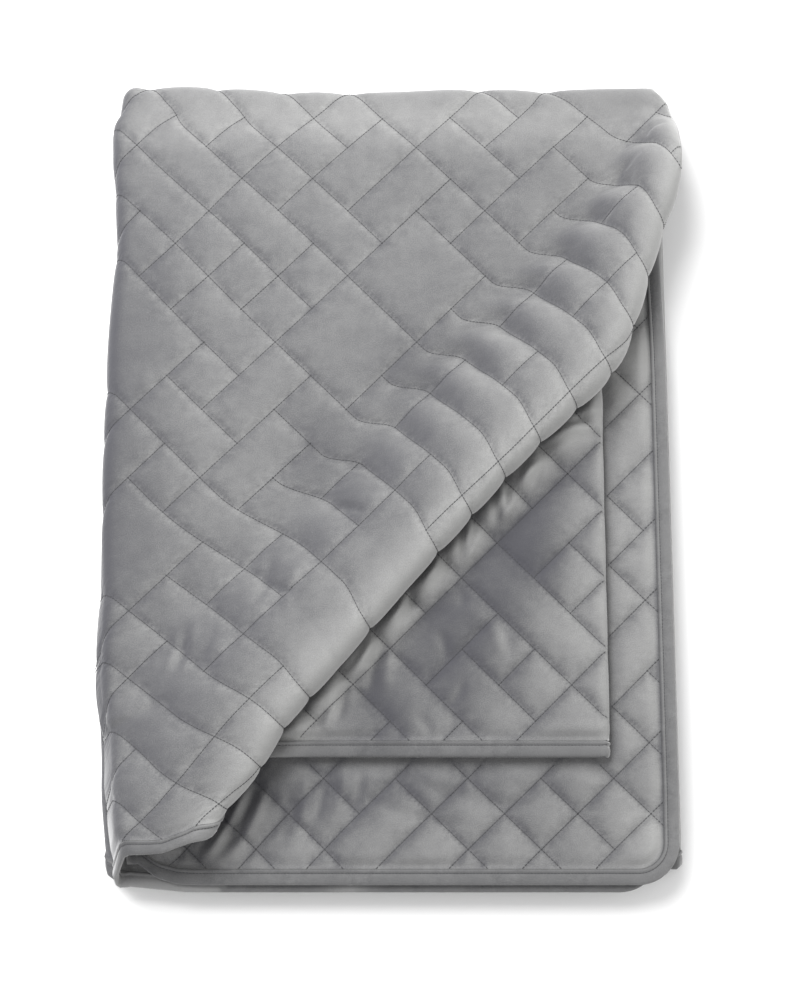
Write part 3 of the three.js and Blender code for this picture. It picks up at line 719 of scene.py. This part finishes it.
def back_half(u, v):
    """How far the back lies from the middle of the cloth."""
    return mix(EDGE_HALF, BACK_HALF, smooth(0, EDGE_FADE, from_edge(u, v)))


# Meshes

# Painted light and shade by facing: cloth that faces right is painted paler and cloth that faces left
# darker, in place of the velvet pile's sheen
PAINTED_LIGHT_FACING = np.array((1.0, 0.0, 0.0))
PUCKER_REACH = 9.0


class Patch(NamedTuple):
    """Where the pile is brushed another way, or light or shade is painted: middle and reach on the pile,
    and lean, darker below 0.
    """
    x: float
    y: float
    across: float
    along: float
    lean: float


# Brushed pile mixed with painted light and shade: the darker patches near the roll on the under leaf are
# brushed pile and painted shade, the pale patch beside the roll on the shown leaf is painted light over its
# shadow, and the long dark patch down the left edge is painted shade.
BRUSH_AND_SHADE_PATCHES = {
    "under": (
        Patch(137, -90, 50, 60, -0.5),
        Patch(58, -172, 48, 55, -0.4),
        Patch(-18, -260, 45, 50, -0.35),
        Patch(181, -3, 30, 40, -0.25),
        Patch(75, -240, 50, 40, -0.2),
        Patch(225, -160, 50, 150, 0.15),
    ),
    "shown": (
        Patch(-114, -359, 70, 40, -0.2),
        Patch(25, -345, 90, 30, -0.2),
        Patch(150, -340, 70, 25, -0.05),
        Patch(275, -100, 45, 260, 0.18),
        Patch(270, -400, 40, 40, 0.22),
        Patch(268, 140, 40, 60, 0.5),
    ),
    "top": (
        Patch(-277, 220, 45, 110, -0.14),
        Patch(-287, 40, 45, 120, -0.12),
        Patch(-293, -110, 40, 80, -0.1),
        Patch(-80, 25, 40, 55, -0.15),
        Patch(20, 120, 45, 50, -0.15),
        Patch(0, 420, 330, 35, 0.25),
        Patch(-220, -190, 70, 150, -0.05),
        Patch(-275, -455, 75, 13, 1.0),
        Patch(-322, -440, 12, 30, 0.9),
        Patch(-40, 230, 260, 170, -0.03),
        Patch(-332, 0, 25, 600, -0.3),
        Patch(272, 345, 50, 60, 0.16),
    ),
}

# Painted light and shade that follow the pile's shape: a painted highlight on the roll's lip, painted light
# on the slope up to it, a painted highlight on the ridge beside it, and painted shade beside the seams of
# the loose leaves, whose tone is also raised a little overall
ROLL_HIGHLIGHT = SimpleNamespace(start=-35.0, end=12.0, lean=0.3)
SLOPE_LIGHT = SimpleNamespace(fade=30.0, lean=0.12)
RIDGE_HIGHLIGHT = 0.5
SEAM_SHADE = SimpleNamespace(reach=6.0, lean=-0.22, level=0.08)


def add_facing_shade(mesh):
    """Stores on each point how far its cloth faces right, for the painted light and shade by facing."""
    normals = np.empty(3 * len(mesh.vertices), dtype=np.float32)
    mesh.vertex_normals.foreach_get("vector", normals)
    facing_shade = mesh.attributes.new("facing_shade", "FLOAT", "POINT")
    facing_shade.data.foreach_set("value", (normals.reshape(-1, 3) @ PAINTED_LIGHT_FACING).astype(np.float32))


def brush_and_shade_lean(u, v):
    """How far the colour is turned paler, or darker if below 0: brushed pile, painted highlights on the
    roll and the ridge beside it, painted light on the slope up to the roll, and painted shade beside the
    loose leaves' seams.
    """
    x, y, _, _, upper = unpleated(u, v)
    past, down = pleat_coordinates(x, y)
    leaves = shown_leaves(u, v, past, upper)
    lean = np.where(leaves["under"], RIDGE_HIGHLIGHT * loose_ridge(past), 0)
    near_roll = smooth(ROLL_HIGHLIGHT.start, ROLL_HIGHLIGHT.end, past)
    lean = lean + np.where(leaves["top"], ROLL_HIGHLIGHT.lean * near_roll, 0)
    foot = foot_width(down)
    slope = smooth(-foot, SLOPE_LIGHT.fade - foot, past) * (1 - near_roll)
    lean = lean + np.where(leaves["top"], SLOPE_LIGHT.lean * slope * upper_strips(down), 0)
    shade_beside_seam = SEAM_SHADE.lean * np.exp(-np.minimum(*seam_distances(u, v)) / SEAM_SHADE.reach)
    loose = (leaves["under"] | leaves["shown"]) & (from_edge(u, v) > 0)
    lean = lean + np.where(loose, shade_beside_seam + SEAM_SHADE.level, 0)
    x, y, _ = np.moveaxis(folded(u, v), -1, 0)
    for leaf, rows in BRUSH_AND_SHADE_PATCHES.items():
        for row in rows:
            patch = row.lean * np.exp(-((x - row.x) / row.across) ** 2 - ((y - row.y) / row.along) ** 2)
            lean = lean + np.where(leaves[leaf], patch, 0)
    return lean


def add_brush_and_shade(mesh, flat):
    """Stores on each point how far its pile is brushed, with the painted light and shade."""
    brush_and_shade = mesh.attributes.new("brush_and_shade", "FLOAT", "POINT")
    brush_and_shade.data.foreach_set("value", brush_and_shade_lean(flat[:, 0], flat[:, 1]).astype(np.float32))


def add_seams(mesh, flat):
    """Stores on each point how close it lies to a seam, from 1 on the seam."""
    close = np.exp(-np.minimum(*seam_distances(flat[:, 0], flat[:, 1])) / PUCKER_REACH)
    seam = mesh.attributes.new("seam", "FLOAT", "POINT")
    seam.data.foreach_set("value", close.astype(np.float32))


def add_object(name, points, faces, material, flat=None):
    """Makes a smooth mesh object from points in millimetres. `flat` has each point's place in the sheet."""
    mesh = bpy.data.meshes.new(name)
    mesh.from_pydata((points * MM).tolist(), [], faces)
    mesh.materials.append(material)
    mesh.shade_smooth()
    if flat is not None:
        layer = mesh.uv_layers.new(name="flat")
        corners = np.empty(len(mesh.loops), dtype=np.int32)
        mesh.loops.foreach_get("vertex_index", corners)
        layer.data.foreach_set("uv", (flat[corners] * MM).ravel().astype(np.float32))
        add_facing_shade(mesh)
        add_seams(mesh, flat)
        add_brush_and_shade(mesh, flat)
    mesh.update()
    piece = bpy.data.objects.new(name, mesh)
    bpy.context.collection.objects.link(piece)
    return piece


# Grid of the panel: lines so spaced that every seam runs through the corners of its squares. It is split
# into blocks, each with faces of one size.
BLOCK = 8
BENT_STEP = 2
FINEST_STEP = 1
OPEN_ENOUGH = 0.02


def grid_lines(length, origin):
    """Places of the grid's lines, with the sewn edges as the first and last."""
    low = BINDING_WIDTH
    high = length - BINDING_WIDTH
    first = math.ceil((low - origin) / LINE_STEP + 0.5)
    last = math.floor((high - origin) / LINE_STEP - 0.5)
    inner = origin + LINE_STEP * np.arange(first, last + 1)
    return np.concatenate(([low], inner, [high]))


U_LINES = grid_lines(SHEET_WIDTH, CHART_ORIGIN[0])
V_LINES = grid_lines(SHEET_LENGTH, CHART_ORIGIN[1])


def falling_seams():
    """Whether a seam along i crosses each grid square."""
    uu, vv = np.meshgrid(U_LINES, V_LINES, indexing="ij")
    _, j = bias(uu, vv)
    on_line = np.abs(j - np.round(j)) < LINE_SLACK
    return on_line[1:, :-1] & on_line[:-1, 1:]


FALLING = falling_seams()


def rounded(u, v):
    """Draws the grid's square corners in to the panel's round ones."""
    du = np.abs(u - SHEET_WIDTH / 2) - (SHEET_WIDTH / 2 - CORNER_RADIUS)
    dv = np.abs(v - SHEET_LENGTH / 2) - (SHEET_LENGTH / 2 - CORNER_RADIUS)
    in_corner = (du > 0) & (dv > 0)
    du = np.where(in_corner, du, 1)
    dv = np.where(in_corner, dv, 1)
    pull = np.where(in_corner, np.maximum(du, dv) / np.hypot(du, dv) - 1, 0)
    return u + np.sign(u - SHEET_WIDTH / 2) * du * pull, v + np.sign(v - SHEET_LENGTH / 2) * dv * pull


def block_steps(side):
    """How many grid squares go to one face in each block of the grid: one where the quilting shows."""
    columns = math.ceil((len(U_LINES) - 1) / BLOCK)
    rows = math.ceil((len(V_LINES) - 1) / BLOCK)
    steps = np.full((columns, rows), BLOCK)
    for a in range(columns):
        for b in range(rows):
            u = U_LINES[a * BLOCK:(a + 1) * BLOCK + 1]
            v = V_LINES[b * BLOCK:(b + 1) * BLOCK + 1]
            uu, vv = np.meshgrid(u, v, indexing="ij")
            x, y, _, h, upper = unpleated(uu, vv)
            past, _ = pleat_coordinates(x, y)
            turns = any(s.turn and u[-1] > s.start and u[0] < s.end for s in STRETCHES)
            over_fold = (np.abs(vv - LONG_FOLD_V) < math.pi / 2 * h + FOLD_OPENS).any()
            pleats = (u[-1] > TOP.start and u[0] < SHOWN.start and upper.any()
                      and ((past > -LOWER_RAMP.foot * (1 + SCALLOP)) & (past < RETURN_END)).any())
            if turns or over_fold or pleats:
                steps[a, b] = BENT_STEP
            if side > 0 and open_share(uu, vv).max() > OPEN_ENOUGH:
                steps[a, b] = FINEST_STEP
    return steps


def surface_faces(steps, first_index):
    """Faces of one side of the panel. A face next to a finer block takes in its neighbour's points."""
    columns = len(U_LINES) - 1
    rows = len(V_LINES) - 1
    faces = []

    def step_at(a, b):
        if a < 0 or b < 0 or a >= columns or b >= rows:
            return FINEST_STEP
        return steps[a // BLOCK, b // BLOCK]

    def index(a, b):
        return first_index + a * (rows + 1) + b

    def side(fixed, low, high, along_u, outside):
        finer = min(step_at(*outside), BLOCK)
        places = [low] + [k for k in range(low + 1, high) if k % finer == 0]
        return [index(k, fixed) if along_u else index(fixed, k) for k in places]

    for a0 in range(0, columns, BLOCK):
        for b0 in range(0, rows, BLOCK):
            step = steps[a0 // BLOCK, b0 // BLOCK]
            for a in range(a0, min(a0 + BLOCK, columns), step):
                for b in range(b0, min(b0 + BLOCK, rows), step):
                    a1 = min(a + step, columns)
                    b1 = min(b + step, rows)
                    if step == FINEST_STEP:
                        faces.extend(split_square(a, b, index))
                        continue
                    near = side(b, a, a1, True, (a, b - 1))
                    right = side(a1, b, b1, False, (a1, b))
                    far = side(b1, a, a1, True, (a, b1))[1:] + [index(a1, b1)]
                    left = side(a, b, b1, False, (a - 1, b))[1:] + [index(a, b1)]
                    faces.append(near + right + far[::-1] + left[::-1])
    return faces


def split_square(a, b, index):
    """Two triangles of one grid square, parted along a seam if one crosses it."""
    corners = index(a, b), index(a + 1, b), index(a + 1, b + 1), index(a, b + 1)
    if FALLING[a, b]:
        return [(corners[0], corners[1], corners[3]), (corners[1], corners[2], corners[3])]
    return [(corners[0], corners[1], corners[2]), (corners[0], corners[2], corners[3])]


def rim_faces(back_index):
    """Faces that join the two sides round the sewn edge."""
    columns = len(U_LINES) - 1
    rows = len(V_LINES) - 1
    ring = [(a, 0) for a in range(columns)] + [(columns, b) for b in range(rows)]
    ring += [(a, rows) for a in range(columns, 0, -1)] + [(0, b) for b in range(rows, 0, -1)]
    numbers = [a * (rows + 1) + b for a, b in ring]
    after = numbers[1:] + numbers[:1]
    return [(m, n, n + back_index, m + back_index)[::-1] for n, m in zip(numbers, after)]


def without_loose(points, faces, flat):
    """Drops the points that no face uses."""
    used = np.unique(np.concatenate([np.asarray(face) for face in faces]))
    renumbered = np.full(len(points), -1)
    renumbered[used] = np.arange(len(used))
    return points[used], [[int(renumbered[k]) for k in face] for face in faces], flat[used]


def make_panel(material):
    """The quilted cloth: its face, its back and the rim between them."""
    u, v = rounded(*np.meshgrid(U_LINES, V_LINES, indexing="ij"))
    u = u.ravel()
    v = v.ravel()
    flat = np.stack((u, v), axis=-1)
    face_points = cloth_points(u, v, face_half(u, v))
    back_points = cloth_points(u, v, -back_half(u, v))
    face = surface_faces(block_steps(1), 0)
    back = [loop[::-1] for loop in surface_faces(block_steps(-1), len(u))]
    faces = face + back + rim_faces(len(u))
    points, faces, flat = without_loose(
        np.concatenate((face_points, back_points)), faces, np.concatenate((flat, flat)))
    points[:, 2] = np.maximum(points[:, 2], 0)
    return add_object("quilted_velvet_panel", points, faces, material, flat)


# Binding: a strip folded round the whole edge. Section rows: distance out from the panel as a share of
# its width, and half thickness.
BINDING_SECTION = (
    SimpleNamespace(out=0.0, half=1.75),
    SimpleNamespace(out=0.04, half=2.9),
    SimpleNamespace(out=0.11, half=3.4),
    SimpleNamespace(out=0.19, half=3.0),
    SimpleNamespace(out=0.26, half=1.8),
    SimpleNamespace(out=0.33, half=2.5),
    SimpleNamespace(out=0.55, half=3.0),
    SimpleNamespace(out=0.8, half=2.7),
    SimpleNamespace(out=0.94, half=1.9),
    SimpleNamespace(out=1.0, half=0.8),
)
BINDING_STEP = 6.0
BINDING_SEAM = 0.26
BINDING_RIPPLES = (
    SimpleNamespace(length=29.0, start=0.6, share=0.06),
    SimpleNamespace(length=47.0, start=2.2, share=0.07),
)


def edge_stations():
    """Places round the edge: a point on the rounding's centre line, and the direction out of the sheet."""
    radius = CORNER_RADIUS
    low_u, high_u = radius, SHEET_WIDTH - radius
    low_v, high_v = radius, SHEET_LENGTH - radius
    sides = (
        ((low_u, low_v), (high_u, low_v), -90),
        ((high_u, low_v), (high_u, high_v), 0),
        ((high_u, high_v), (low_u, high_v), 90),
        ((low_u, high_v), (low_u, low_v), 180),
    )
    centres = []
    angles = []
    corner_steps = round(math.pi / 2 * radius / BINDING_STEP)
    for start, end, facing in sides:
        count = round(math.dist(start, end) / BINDING_STEP)
        for k in range(count):
            centres.append(mix(np.array(start), np.array(end), k / count))
            angles.append(facing)
        for k in range(corner_steps):
            centres.append(np.array(end))
            angles.append(facing + 90 * k / corner_steps)
    angles = np.radians(angles)
    return np.array(centres), np.stack((np.cos(angles), np.sin(angles)), axis=-1)


def edge_places(inset):
    """The flat sheet's outline, `inset` in from the finished edge."""
    centres, outward = edge_stations()
    return centres + outward * (CORNER_RADIUS - inset)


def binding_ripple(stations):
    """Share by which the binding is fuller or thinner at places round the edge."""
    run = BINDING_STEP * np.arange(stations)
    return 1 + sum(row.share * np.sin(math.tau * run / row.length + row.start) for row in BINDING_RIPPLES)


def make_binding(material):
    """The strip round the whole edge, as rings of its section joined end to end."""
    ring = [(row, 1) for row in BINDING_SECTION] + [(row, -1) for row in reversed(BINDING_SECTION)]
    rings = []
    flats = []
    for row, side in ring:
        place = edge_places((BINDING_WIDTH - PIECE_GAP) * (1 - row.out))
        half = side * row.half * mix(1, binding_ripple(len(place)), row.out)
        rings.append(cloth_points(place[:, 0], place[:, 1], half))
        flats.append(place)
    points = np.stack(rings, axis=1)
    points[..., 2] = np.maximum(points[..., 2], 0)
    stations, around = points.shape[:2]
    faces = []
    for s in range(stations):
        after = (s + 1) % stations
        for r in range(around):
            q = (r + 1) % around
            faces.append((s * around + r, s * around + q, after * around + q, after * around + r))
    return add_object("velvet_edge_binding", points.reshape(-1, 3), faces, material,
                      np.stack(flats, axis=1).reshape(-1, 2))


# Nodes, for the stitches and the materials

def set_stops(colours, interpolation, first, *others):
    """Gives a colour ramp its stops, each a position and a colour, from first to last."""
    *middle, last = others
    colours.interpolation = interpolation
    for element, (position, colour) in zip(colours.elements, (first, last)):
        element.position = position
        element.color = colour
    for position, colour in middle:
        colours.elements.new(position).color = colour


def join(tree, given, socket):
    """Links a socket to another one, or sets its value."""
    if isinstance(given, bpy.types.NodeSocket):
        tree.links.new(given, socket)
    else:
        socket.default_value = given


def add_node(tree, kind, settings=None, inputs=None):
    """Adds a node: first its settings, then the values or links of its sockets."""
    made = tree.nodes.new(kind)
    for name, setting in (settings or {}).items():
        if name == "stops":
            set_stops(made.color_ramp, *setting)
        else:
            setattr(made, name, setting)
    for name, given in (inputs or {}).items():
        join(tree, given, made.inputs[name])
    return made


# Stitches: threads set end to end along every seam that shows
STITCH = SimpleNamespace(pitch=3.6, length=3.6, width=1.0, above=0.3)
STITCH_INPUTS = {
    "Lines": "Geometry", "Pitch": "Float", "Length": "Float", "Width": "Float", "Thread": "Material",
}
STITCH_SIDES = 5
STITCH_RINGS = 3
BEAD_RADIUS = 0.5
STITCH_SHOWS = 0.3
SEAM_END = 1.0


def seam_runs(leaf):
    """Ends of short steps along every seam of a leaf, in whole numbers of grid lines along i and j."""
    rows = len(CHART)
    columns = len(CHART[0])
    far = math.ceil((SHEET_WIDTH + SHEET_LENGTH) / BIAS)
    steps = np.arange(LINES_PER_UNIT)
    runs = []
    for i in range(-far, far):
        for j in range(-far, far):
            here = CHART[j % rows][i % columns]
            start = np.array((i, j)) * LINES_PER_UNIT
            single = leaf == "shown" or (leaf == "under" and i == UNDER_SEAM)
            if single or CHART[j % rows][(i - 1) % columns] != here:
                runs.append([(start + (0, k), start + (0, k + 1)) for k in steps])
            crossed = leaf == "under" and i == UNDER_SEAM - 1
            if crossed or CHART[(j - 1) % rows][i % columns] != here:
                runs.append([(start + (k, 0), start + (k + 1, 0)) for k in steps])
    return np.array(runs).reshape(-1, 2)


def seam_lines():
    """Points along the seams that show, in millimetres, and the pairs of points that are joined."""
    points = []
    pairs = []
    for leaf, shift in (("top", 0), ("under", UNDER_SHIFT), ("shown", SHOWN_SHIFT)):
        places, joins = np.unique(seam_runs(leaf), axis=0, return_inverse=True)
        i, j = places.T / LINES_PER_UNIT
        u = CHART_ORIGIN[0] + (i + j) * BIAS / 2 - shift
        v = CHART_ORIGIN[1] + (j - i) * BIAS / 2
        shows = (from_edge(u, v) > SEAM_END) & (open_share(u, v) > STITCH_SHOWS)
        shows = shows & (chart_shift(u, v) == shift)
        joined = joins.reshape(-1, 2)
        used, joined = np.unique(joined[shows[joined].all(axis=1)], return_inverse=True)
        pairs.append(joined.reshape(-1, 2) + sum(len(row) for row in points))
        points.append(cloth_points(u[used], v[used], face_half(u[used], v[used]) + STITCH.above))
    return np.concatenate(points), np.concatenate(pairs)


def binding_line():
    """Points along the binding's own seam, and the pairs of them that show."""
    place = edge_places((BINDING_WIDTH - PIECE_GAP) * (1 - BINDING_SEAM))
    u, v = place.T
    half = next(row.half for row in BINDING_SECTION if row.out == BINDING_SEAM)
    numbers = np.arange(len(u))
    pairs = np.stack((numbers, np.roll(numbers, -1)), axis=-1)
    shows = open_share(u, v) > STITCH_SHOWS
    points = cloth_points(u, v, np.full(len(u), half + STITCH.above))
    return points, pairs[shows[pairs].all(axis=1)]


def stitch_tree():
    """Node group that sets a thread at even steps along the edges of a mesh."""
    tree = bpy.data.node_groups.new("stitches", "GeometryNodeTree")
    sockets = {}
    for name, kind in STITCH_INPUTS.items():
        socket = tree.interface.new_socket(name, in_out="INPUT", socket_type=f"NodeSocket{kind}")
        sockets[name] = socket.identifier
    tree.interface.new_socket("Stitches", in_out="OUTPUT", socket_type="NodeSocketGeometry")
    sizes = add_node(tree, "NodeGroupInput").outputs
    curve = add_node(tree, "GeometryNodeMeshToCurve", None, {"Mesh": sizes["Lines"]})
    even = add_node(tree, "GeometryNodeResampleCurve", {"mode": "LENGTH"},
                    {"Curve": curve.outputs["Curve"], "Length": sizes["Pitch"]})
    thread = add_node(tree, "GeometryNodeMeshUVSphere", None,
                      {"Segments": STITCH_SIDES, "Rings": STITCH_RINGS, "Radius": BEAD_RADIUS})
    tangent = add_node(tree, "GeometryNodeInputTangent")
    turned = add_node(tree, "FunctionNodeAlignRotationToVector", {"axis": "Z"},
                      {"Vector": tangent.outputs["Tangent"]})
    scale = add_node(tree, "ShaderNodeCombineXYZ", None,
                     {"X": sizes["Width"], "Y": sizes["Width"], "Z": sizes["Length"]})
    placed = add_node(tree, "GeometryNodeInstanceOnPoints", None, {
        "Points": even.outputs["Curve"], "Instance": thread.outputs["Mesh"],
        "Rotation": turned.outputs["Rotation"], "Scale": scale.outputs["Vector"]})
    real = add_node(tree, "GeometryNodeRealizeInstances", None, {"Geometry": placed.outputs["Instances"]})
    coloured = add_node(tree, "GeometryNodeSetMaterial", None,
                        {"Geometry": real.outputs["Geometry"], "Material": sizes["Thread"]})
    add_node(tree, "NodeGroupOutput", None, {"Stitches": coloured.outputs["Geometry"]})
    return tree, sockets


def make_stitches(material):
    """Threads along the quilting's seams and the binding's."""
    seam_points, seam_pairs = seam_lines()
    edge_points, edge_pairs = binding_line()
    points = np.concatenate((seam_points, edge_points))
    pairs = np.concatenate((seam_pairs, edge_pairs + len(seam_points)))
    lines = bpy.data.meshes.new("seam_lines")
    lines.from_pydata((points * MM).tolist(), pairs.tolist(), [])
    piece = bpy.data.objects.new("quilting_stitches", lines)
    bpy.context.collection.objects.link(piece)
    tree, sockets = stitch_tree()
    modifier = piece.modifiers.new("stitches", "NODES")
    modifier.node_group = tree
    modifier[sockets["Pitch"]] = STITCH.pitch * MM
    modifier[sockets["Length"]] = STITCH.length * MM
    modifier[sockets["Width"]] = STITCH.width * MM
    modifier[sockets["Thread"]] = material
    drawn = piece.evaluated_get(bpy.context.evaluated_depsgraph_get())
    stitches = bpy.data.meshes.new_from_object(drawn)
    piece.modifiers.remove(modifier)
    piece.data = stitches
    stitches.shade_smooth()
    return piece


# Materials

def plain(given):
    """The socket or number that a shade holds, or else what was given."""
    return given.value if isinstance(given, Shade) else given


class Shade:
    """A socket or number in a material's node tree, with arithmetic that adds Math nodes."""

    def __init__(self, tree, value):
        self.tree = tree
        self.value = value

    def node(self, kind, settings=None, inputs=None, output=0):
        inputs = {name: plain(given) for name, given in (inputs or {}).items()}
        return Shade(self.tree, add_node(self.tree, kind, settings, inputs).outputs[output])

    def maths(self, operation, one, other):
        return self.node("ShaderNodeMath", {"operation": operation}, {0: one, 1: other})

    def __add__(self, other):
        return self.maths("ADD", self, other)

    def __radd__(self, other):
        return self.maths("ADD", other, self)

    def __sub__(self, other):
        return self.maths("SUBTRACT", self, other)

    def __rsub__(self, other):
        return self.maths("SUBTRACT", other, self)

    def __mul__(self, other):
        return self.maths("MULTIPLY", self, other)

    def __rmul__(self, other):
        return self.maths("MULTIPLY", other, self)


def new_material(name):
    """A material with its shader node, and a starting point for its expressions."""
    material = bpy.data.materials.new(name)
    material.use_nodes = True
    shader = material.node_tree.nodes["Principled BSDF"]
    return material, shader, Shade(material.node_tree, None)


# Velvet: how strongly each cause turns its colour, painted light and shade among them, and where on the
# turn its colours lie
FACING_SHADE_SHARE = 0.55
PATCH_SHARE = 0.22
SMUDGE = SimpleNamespace(level=0.18, at_seam=0.6)
GRAIN_SHARE = 0.55
COLOUR_PLACES = SimpleNamespace(shade_against_pile=0.28, level=0.5, along=0.8)
PUCKER = SimpleNamespace(level=0.35, at_seam=1.6, grain=0.15, strength=0.7, distance=0.0012)
VELVET_FINISH = {
    "Roughness": 0.95, "Specular IOR Level": 0.1, "Sheen Weight": 0.5, "Sheen Roughness": 0.45,
}
THREAD_DARK = (0.03, 0.03, 0.033, 1)
THREAD_LIGHT = (0.07, 0.07, 0.075, 1)
THREAD_ROUGHNESS = 0.8


def noise(make, place, scale, detail, roughness=0.5):
    """Uneven pattern from 0 to 1, with `scale` marks in a metre."""
    return make.node("ShaderNodeTexNoise", None,
                     {"Vector": place, "Scale": scale, "Detail": detail, "Roughness": roughness})


def velvet(name, shade_against_pile, level, along):
    """Short pile cloth: painted darker where it faces against the pile's lean, to the left, and paler where
    it faces right, with brushed patches, painted light and shade, and a grain.
    """
    material, shader, make = new_material(name)
    place = make.node("ShaderNodeUVMap", {"uv_map": "flat"})
    facing_shade, seam, brush_and_shade = (
        make.node("ShaderNodeAttribute", {"attribute_name": kept}, output="Fac")
        for kept in ("facing_shade", "seam", "brush_and_shade"))
    patches = noise(make, place, scale=26.0, detail=4.0, roughness=0.6) - 0.5
    grain = noise(make, place, scale=900.0, detail=2.0, roughness=0.6)
    puckers = noise(make, place, scale=140.0, detail=2.0)
    smudge = noise(make, place, scale=75.0, detail=6.0, roughness=0.7) - 0.5
    smudge = smudge * (seam * SMUDGE.at_seam + SMUDGE.level)
    # The facing term is painted light and shade by facing; the brush term is brushed pile with painted
    # light and shade.
    lean = facing_shade * FACING_SHADE_SHARE + brush_and_shade + patches * PATCH_SHARE + smudge + (grain - 0.5) * GRAIN_SHARE
    stops = (
        "B_SPLINE", (COLOUR_PLACES.shade_against_pile, shade_against_pile), (COLOUR_PLACES.level, level),
        (COLOUR_PLACES.along, along))
    colour = make.node("ShaderNodeValToRGB", {"stops": stops}, {"Fac": lean * 0.5 + 0.5})
    height = grain * PUCKER.grain + puckers * (seam * PUCKER.at_seam + PUCKER.level)
    bump = make.node("ShaderNodeBump", None,
                     {"Strength": PUCKER.strength, "Distance": PUCKER.distance, "Height": height})
    join(material.node_tree, colour.value, shader.inputs["Base Color"])
    join(material.node_tree, bump.value, shader.inputs["Normal"])
    for socket, setting in VELVET_FINISH.items():
        shader.inputs[socket].default_value = setting
    return material


def thread_material():
    """Matt sewing thread, a little uneven along its length."""
    material, shader, make = new_material("grey_thread")
    place = make.node("ShaderNodeTexCoord", output="Object")
    stops = "LINEAR", (0, THREAD_DARK), (1, THREAD_LIGHT)
    mottle = noise(make, place, scale=700.0, detail=2.0)
    colour = make.node("ShaderNodeValToRGB", {"stops": stops}, {"Fac": mottle})
    join(material.node_tree, colour.value, shader.inputs["Base Color"])
    shader.inputs["Roughness"].default_value = THREAD_ROUGHNESS
    return material


# Stage

CAMERA_TARGET = Vector((0.0039, -0.0295, 0.04))
CAMERA_DISTANCE = 1.9
CAMERA_ELEVATION = math.radians(79)
FRAME_HEIGHT = 1000
FOCAL_PIXELS = 1704
SENSOR_HEIGHT = 36.0
WINDOW = SimpleNamespace(place=(-0.85, 1.15, 1.95), towards=(0, 0, 0), size=1.8, power=97)
FLOOR_COLOUR = (0.85, 0.85, 0.85, 1)
FLOOR_ROUGHNESS = 0.9
FLOOR_HALF = 4000.0
SURROUND_COLOUR = (1, 1, 1, 1)
SURROUND_STRENGTH = 0.95


def add_camera():
    """Camera almost straight above the pile, a little towards its near edge."""
    data = bpy.data.cameras.new("camera")
    data.sensor_fit = "VERTICAL"
    data.sensor_height = SENSOR_HEIGHT
    data.lens = FOCAL_PIXELS / FRAME_HEIGHT * SENSOR_HEIGHT
    camera = bpy.data.objects.new("camera", data)
    towards = Vector((0, math.cos(CAMERA_ELEVATION), -math.sin(CAMERA_ELEVATION)))
    camera.location = CAMERA_TARGET - towards * CAMERA_DISTANCE
    camera.rotation_euler = towards.to_track_quat("-Z", "Y").to_euler()
    bpy.context.collection.objects.link(camera)
    bpy.context.scene.camera = camera


def add_window():
    """One broad soft light from behind on the left."""
    data = bpy.data.lights.new("window", "AREA")
    data.shape = "DISK"
    data.size = WINDOW.size
    data.energy = WINDOW.power
    light = bpy.data.objects.new("window", data)
    light.location = WINDOW.place
    facing = Vector(WINDOW.towards) - Vector(WINDOW.place)
    light.rotation_euler = facing.to_track_quat("-Z", "Y").to_euler()
    bpy.context.collection.objects.link(light)


def add_floor():
    """Plain pale floor under the pile."""
    material, shader, _ = new_material("pale_floor")
    shader.inputs["Base Color"].default_value = FLOOR_COLOUR
    shader.inputs["Roughness"].default_value = FLOOR_ROUGHNESS
    corners = FLOOR_HALF * np.array(((-1, -1, 0), (1, -1, 0), (1, 1, 0), (-1, 1, 0)))
    add_object("floor", corners, [(0, 1, 2, 3)], material)


def add_world():
    """White light from all round."""
    world = bpy.data.worlds.new("studio")
    world.use_nodes = True
    background = world.node_tree.nodes["Background"]
    background.inputs["Color"].default_value = SURROUND_COLOUR
    background.inputs["Strength"].default_value = SURROUND_STRENGTH
    bpy.context.scene.world = world


add_camera()
add_world()
add_floor()
add_window()
bpy.context.scene.view_settings.view_transform = "Standard"

# The first colours of each velvet, darker and a little bluer, are painted shade, and the last colours are
# painted light; the middle ones are the cloth's own tone.
panel_velvet = velvet(
    "grey_velvet", shade_against_pile=(0.055, 0.055, 0.063, 1), level=(0.117, 0.117, 0.119, 1),
    along=(0.32, 0.32, 0.315, 1))
binding_velvet = velvet(
    "binding_velvet", shade_against_pile=(0.056, 0.056, 0.06, 1), level=(0.102, 0.102, 0.104, 1),
    along=(0.22, 0.22, 0.22, 1))
panel = make_panel(panel_velvet)
binding = make_binding(binding_velvet)
stitches = make_stitches(thread_material())

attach(panel, "root")
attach(binding, "root")
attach(stitches, "root")
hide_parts("quilted_panel")
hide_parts("edge_binding")
